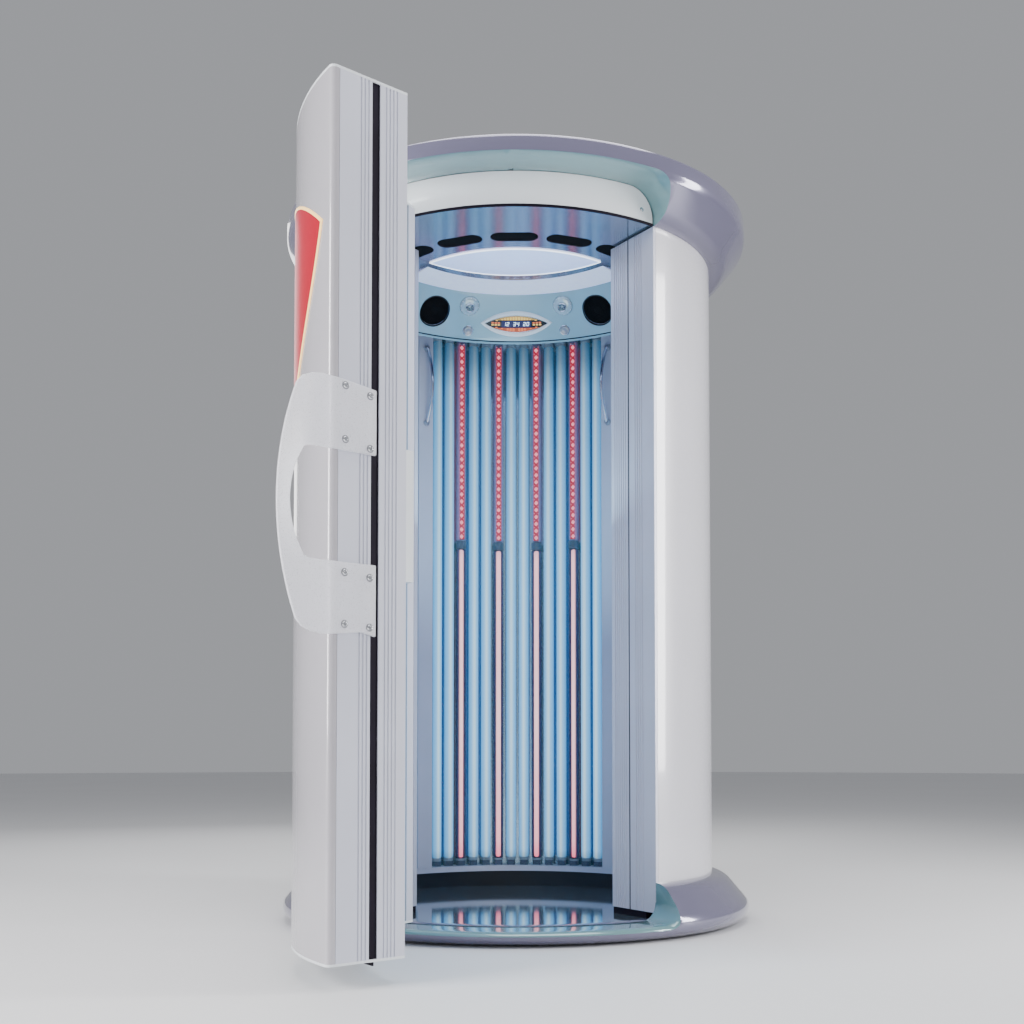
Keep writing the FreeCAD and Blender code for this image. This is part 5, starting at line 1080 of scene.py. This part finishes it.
door_handle()
inlay()
screws("pull_screws", [facing(edge_place(-DOOR_DEPTH - 0.022, z, -0.014), "-x")
                       for z in (0.975, 1.243)], 0.0048, body="door")


# ---- grab handles

def grab_handles():
    """Chrome rods bowed off the posts, between satin clips."""
    rods, clips = bmesh.new(), bmesh.new()
    half, reach, radius = 0.15, 0.046, 0.0065
    foot, post, gap = 1.755, 0.138, 0.008
    bow, spread = bulge(half, reach)
    spread *= 0.985
    sides = [2 * pi * k / 16 for k in range(16)]
    for side in (-1, 1):
        place = arc_frame("back", side * BLEND, FRONT_R - post - gap, foot + half)
        rows = []
        for i in range(33):
            t = spread * (i / 16 - 1)
            centre = Vector((bow - reach - bow * cos(t), 0, bow * sin(t)))
            along, out = Vector((sin(t), 0, cos(t))), Vector((-cos(t), 0, sin(t)))
            across = along.cross(out)
            rows.append([place @ (centre + (out * cos(a) + across * sin(a)) * radius)
                         for a in sides])
        skin(rods, rows)
        for end in (-1, 1):
            clip = place @ Matrix.Translation((-0.0005, 0, end * half * 0.93))
            lathe(clips, facing(clip, "-x"), [
                (0, 0.0), (0.012, 0.0), (0.0125, 0.003), (0.01, 0.01), (0.0085, 0.013),
                (0, 0.013)], 24)
    publish("grab_rods", rods, "steel_bright", "grab_handles")
    publish("grab_clips", clips, "steel_satin", slot="steel_bright")


grab_handles()


# ---- finishes of the CAD's own nodes

WELD_WITHIN, SMOOTH_BELOW = 0.00002, rad(28)
# Material, and the nodes that wear it.
KEPT = {
    "frame_steel": "base_frame",
    "rubber": "levelling_feet jamb_rubbers door_seals",
    "floor_mirror": "floor_plate",
    "white_aluminium": "jamb_right jamb_left lamp_rails cabin_posts",
    "panel_lacquer": "side_panel_left side_panel_right rear_panel",
    "black_plastic": "kick_panel fan_housing fan_impeller",
    "reflector_sheet": "reflector door_reflector",
    "clear_acrylic": "acrylic_back acrylic_left acrylic_right door_acrylic",
    "silver_shell": "roof_cover",
    "steel_satin": "exhaust_spigot hinge_brackets hinge_leaves",
    "header_lacquer": "header_panel",
    "ceiling_satin": "ceiling_panel",
    "cove_white": "ceiling_cove",
    "ballast_case": "lamp_ballasts",
    "steel_bright": "hinge_pins",
    "door_lacquer": "door_shell",
    "profile_white": "door_free_profile door_hinge_profile",
    "white_plastic": "door_end_caps inner_pull",
}


def smooth_group():
    """Geometry nodes that smooth a mesh except over its sharp edges."""
    group = bpy.data.node_groups.new("smooth_faces", "GeometryNodeTree")
    for way in ("INPUT", "OUTPUT"):
        group.interface.new_socket("Geometry", in_out=way, socket_type="NodeSocketGeometry")
    source, target, angle, compare, faces, edges = (group.nodes.new(kind) for kind in (
        "NodeGroupInput", "NodeGroupOutput", "GeometryNodeInputMeshEdgeAngle",
        "FunctionNodeCompare", "GeometryNodeSetShadeSmooth", "GeometryNodeSetShadeSmooth"))
    compare.data_type, compare.operation = "FLOAT", "LESS_THAN"
    compare.inputs[1].default_value = SMOOTH_BELOW
    edges.domain = "EDGE"
    for output, socket in (
            (source, faces.inputs["Geometry"]), (faces, edges.inputs["Geometry"]),
            (angle, compare.inputs[0]), (compare, edges.inputs["Shade Smooth"]),
            (edges, target.inputs[0])):
        group.links.new(output.outputs[0], socket)
    return group


def dress_nodes():
    """Gives the CAD's own nodes their materials and smooth shading."""
    group = smooth_group()
    for material, names in KEPT.items():
        for name in names.split():
            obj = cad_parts[name]
            obj.data.materials.clear()
            obj.data.materials.append(M[material])
            obj.modifiers.new("weld", "WELD").merge_threshold = WELD_WITHIN
            obj.modifiers.new("smooth", "NODES").node_group = group


dress_nodes()


# ---- stage, lights and camera

def stage():
    """A plain round floor."""
    bm = bmesh.new()
    turns = [2 * pi * i / 64 for i in range(64)]
    skin(bm, [[(r * cos(t), r * sin(t), -0.0002) for t in turns]
              for r in (0.001, 2.0, 6.0, 14.0, 30.0)], caps=False)
    floor = linked("studio_floor", to_mesh(bm, "studio_floor", M["floor_stage"]))


def area(name, place, target, size, power, colour=(1, 1, 1), glossy=True):
    """A rectangular light that the camera doesn't see."""
    light = bpy.data.lights.new(name, "AREA")
    light.shape = "RECTANGLE"
    light.size, light.size_y = size
    light.energy, light.color = power, colour
    obj = linked(name, light)
    obj.location = place
    obj.rotation_euler = (Vector(target) - Vector(place)).to_track_quat("-Z", "Y").to_euler()
    obj.visible_camera, obj.visible_glossy = False, glossy


def lights():
    """Pale surroundings, soft lights about the booth and two that stand for its lamps."""
    world = bpy.data.worlds.new("studio")
    bpy.context.scene.world = world
    world.use_nodes = True
    background = world.node_tree.nodes["Background"]
    background.inputs["Color"].default_value = (0.86, 0.88, 0.93, 1)
    background.inputs["Strength"].default_value = 0.42
    area("key_left", (-3.6, -3.0, 2.0), (-0.3, -0.8, 1.1), (1.4, 2.8), 300)
    area("key_right", (4.0, -0.9, 1.9), (0.5, 0, 1.2), (0.7, 3.0), 170)
    area("front", (1.6, -4.8, 1.6), (0.1, 0, 1.2), (1.6, 2.4), 50, glossy=False)
    area("top", (0.3, -0.8, 4.8), (0, 0, 1.5), (3.4, 3.4), 190)
    area("rear", (-1.5, 4.0, 3.0), (0, 0, 1.3), (3.0, 2.2), 60)
    area("cabin_out", (0, -0.1, 1.15), (0, -2.0, 1.15), (0.5, 1.7), 6, (0.42, 0.78, 1.0), False)
    area("cabin_up", (0, -0.2, 1.2), (0, 0.25, 2.1), (0.5, 0.5), 4, (0.55, 0.85, 1.0), False)


CAM_DISTANCE, CAM_AZIMUTH, CAM_HEIGHT, CAM_PITCH = 3.926, rad(0.74), 0.5412, rad(2.0)
FOCAL_PX, AXIS_X, AXIS_Y, IMAGE = 1160.0, 515.8, 712.6, 1024


def camera():
    """The photograph's camera: its focal length and its axis come from the photograph's pixels."""
    data = bpy.data.cameras.new("view")
    data.sensor_width = 36
    data.lens = FOCAL_PX / IMAGE * data.sensor_width
    data.shift_x = (IMAGE / 2 - AXIS_X) / IMAGE
    data.shift_y = (AXIS_Y - IMAGE / 2) / IMAGE
    data.clip_start, data.clip_end = 0.05, 100
    obj = linked("view", data)
    obj.location = (CAM_DISTANCE * sin(CAM_AZIMUTH), -CAM_DISTANCE * cos(CAM_AZIMUTH), CAM_HEIGHT)
    obj.rotation_euler = (pi / 2 + CAM_PITCH, 0, CAM_AZIMUTH)
    bpy.context.scene.camera = obj


stage()
lights()
camera()

bpy.context.view_layer.update()
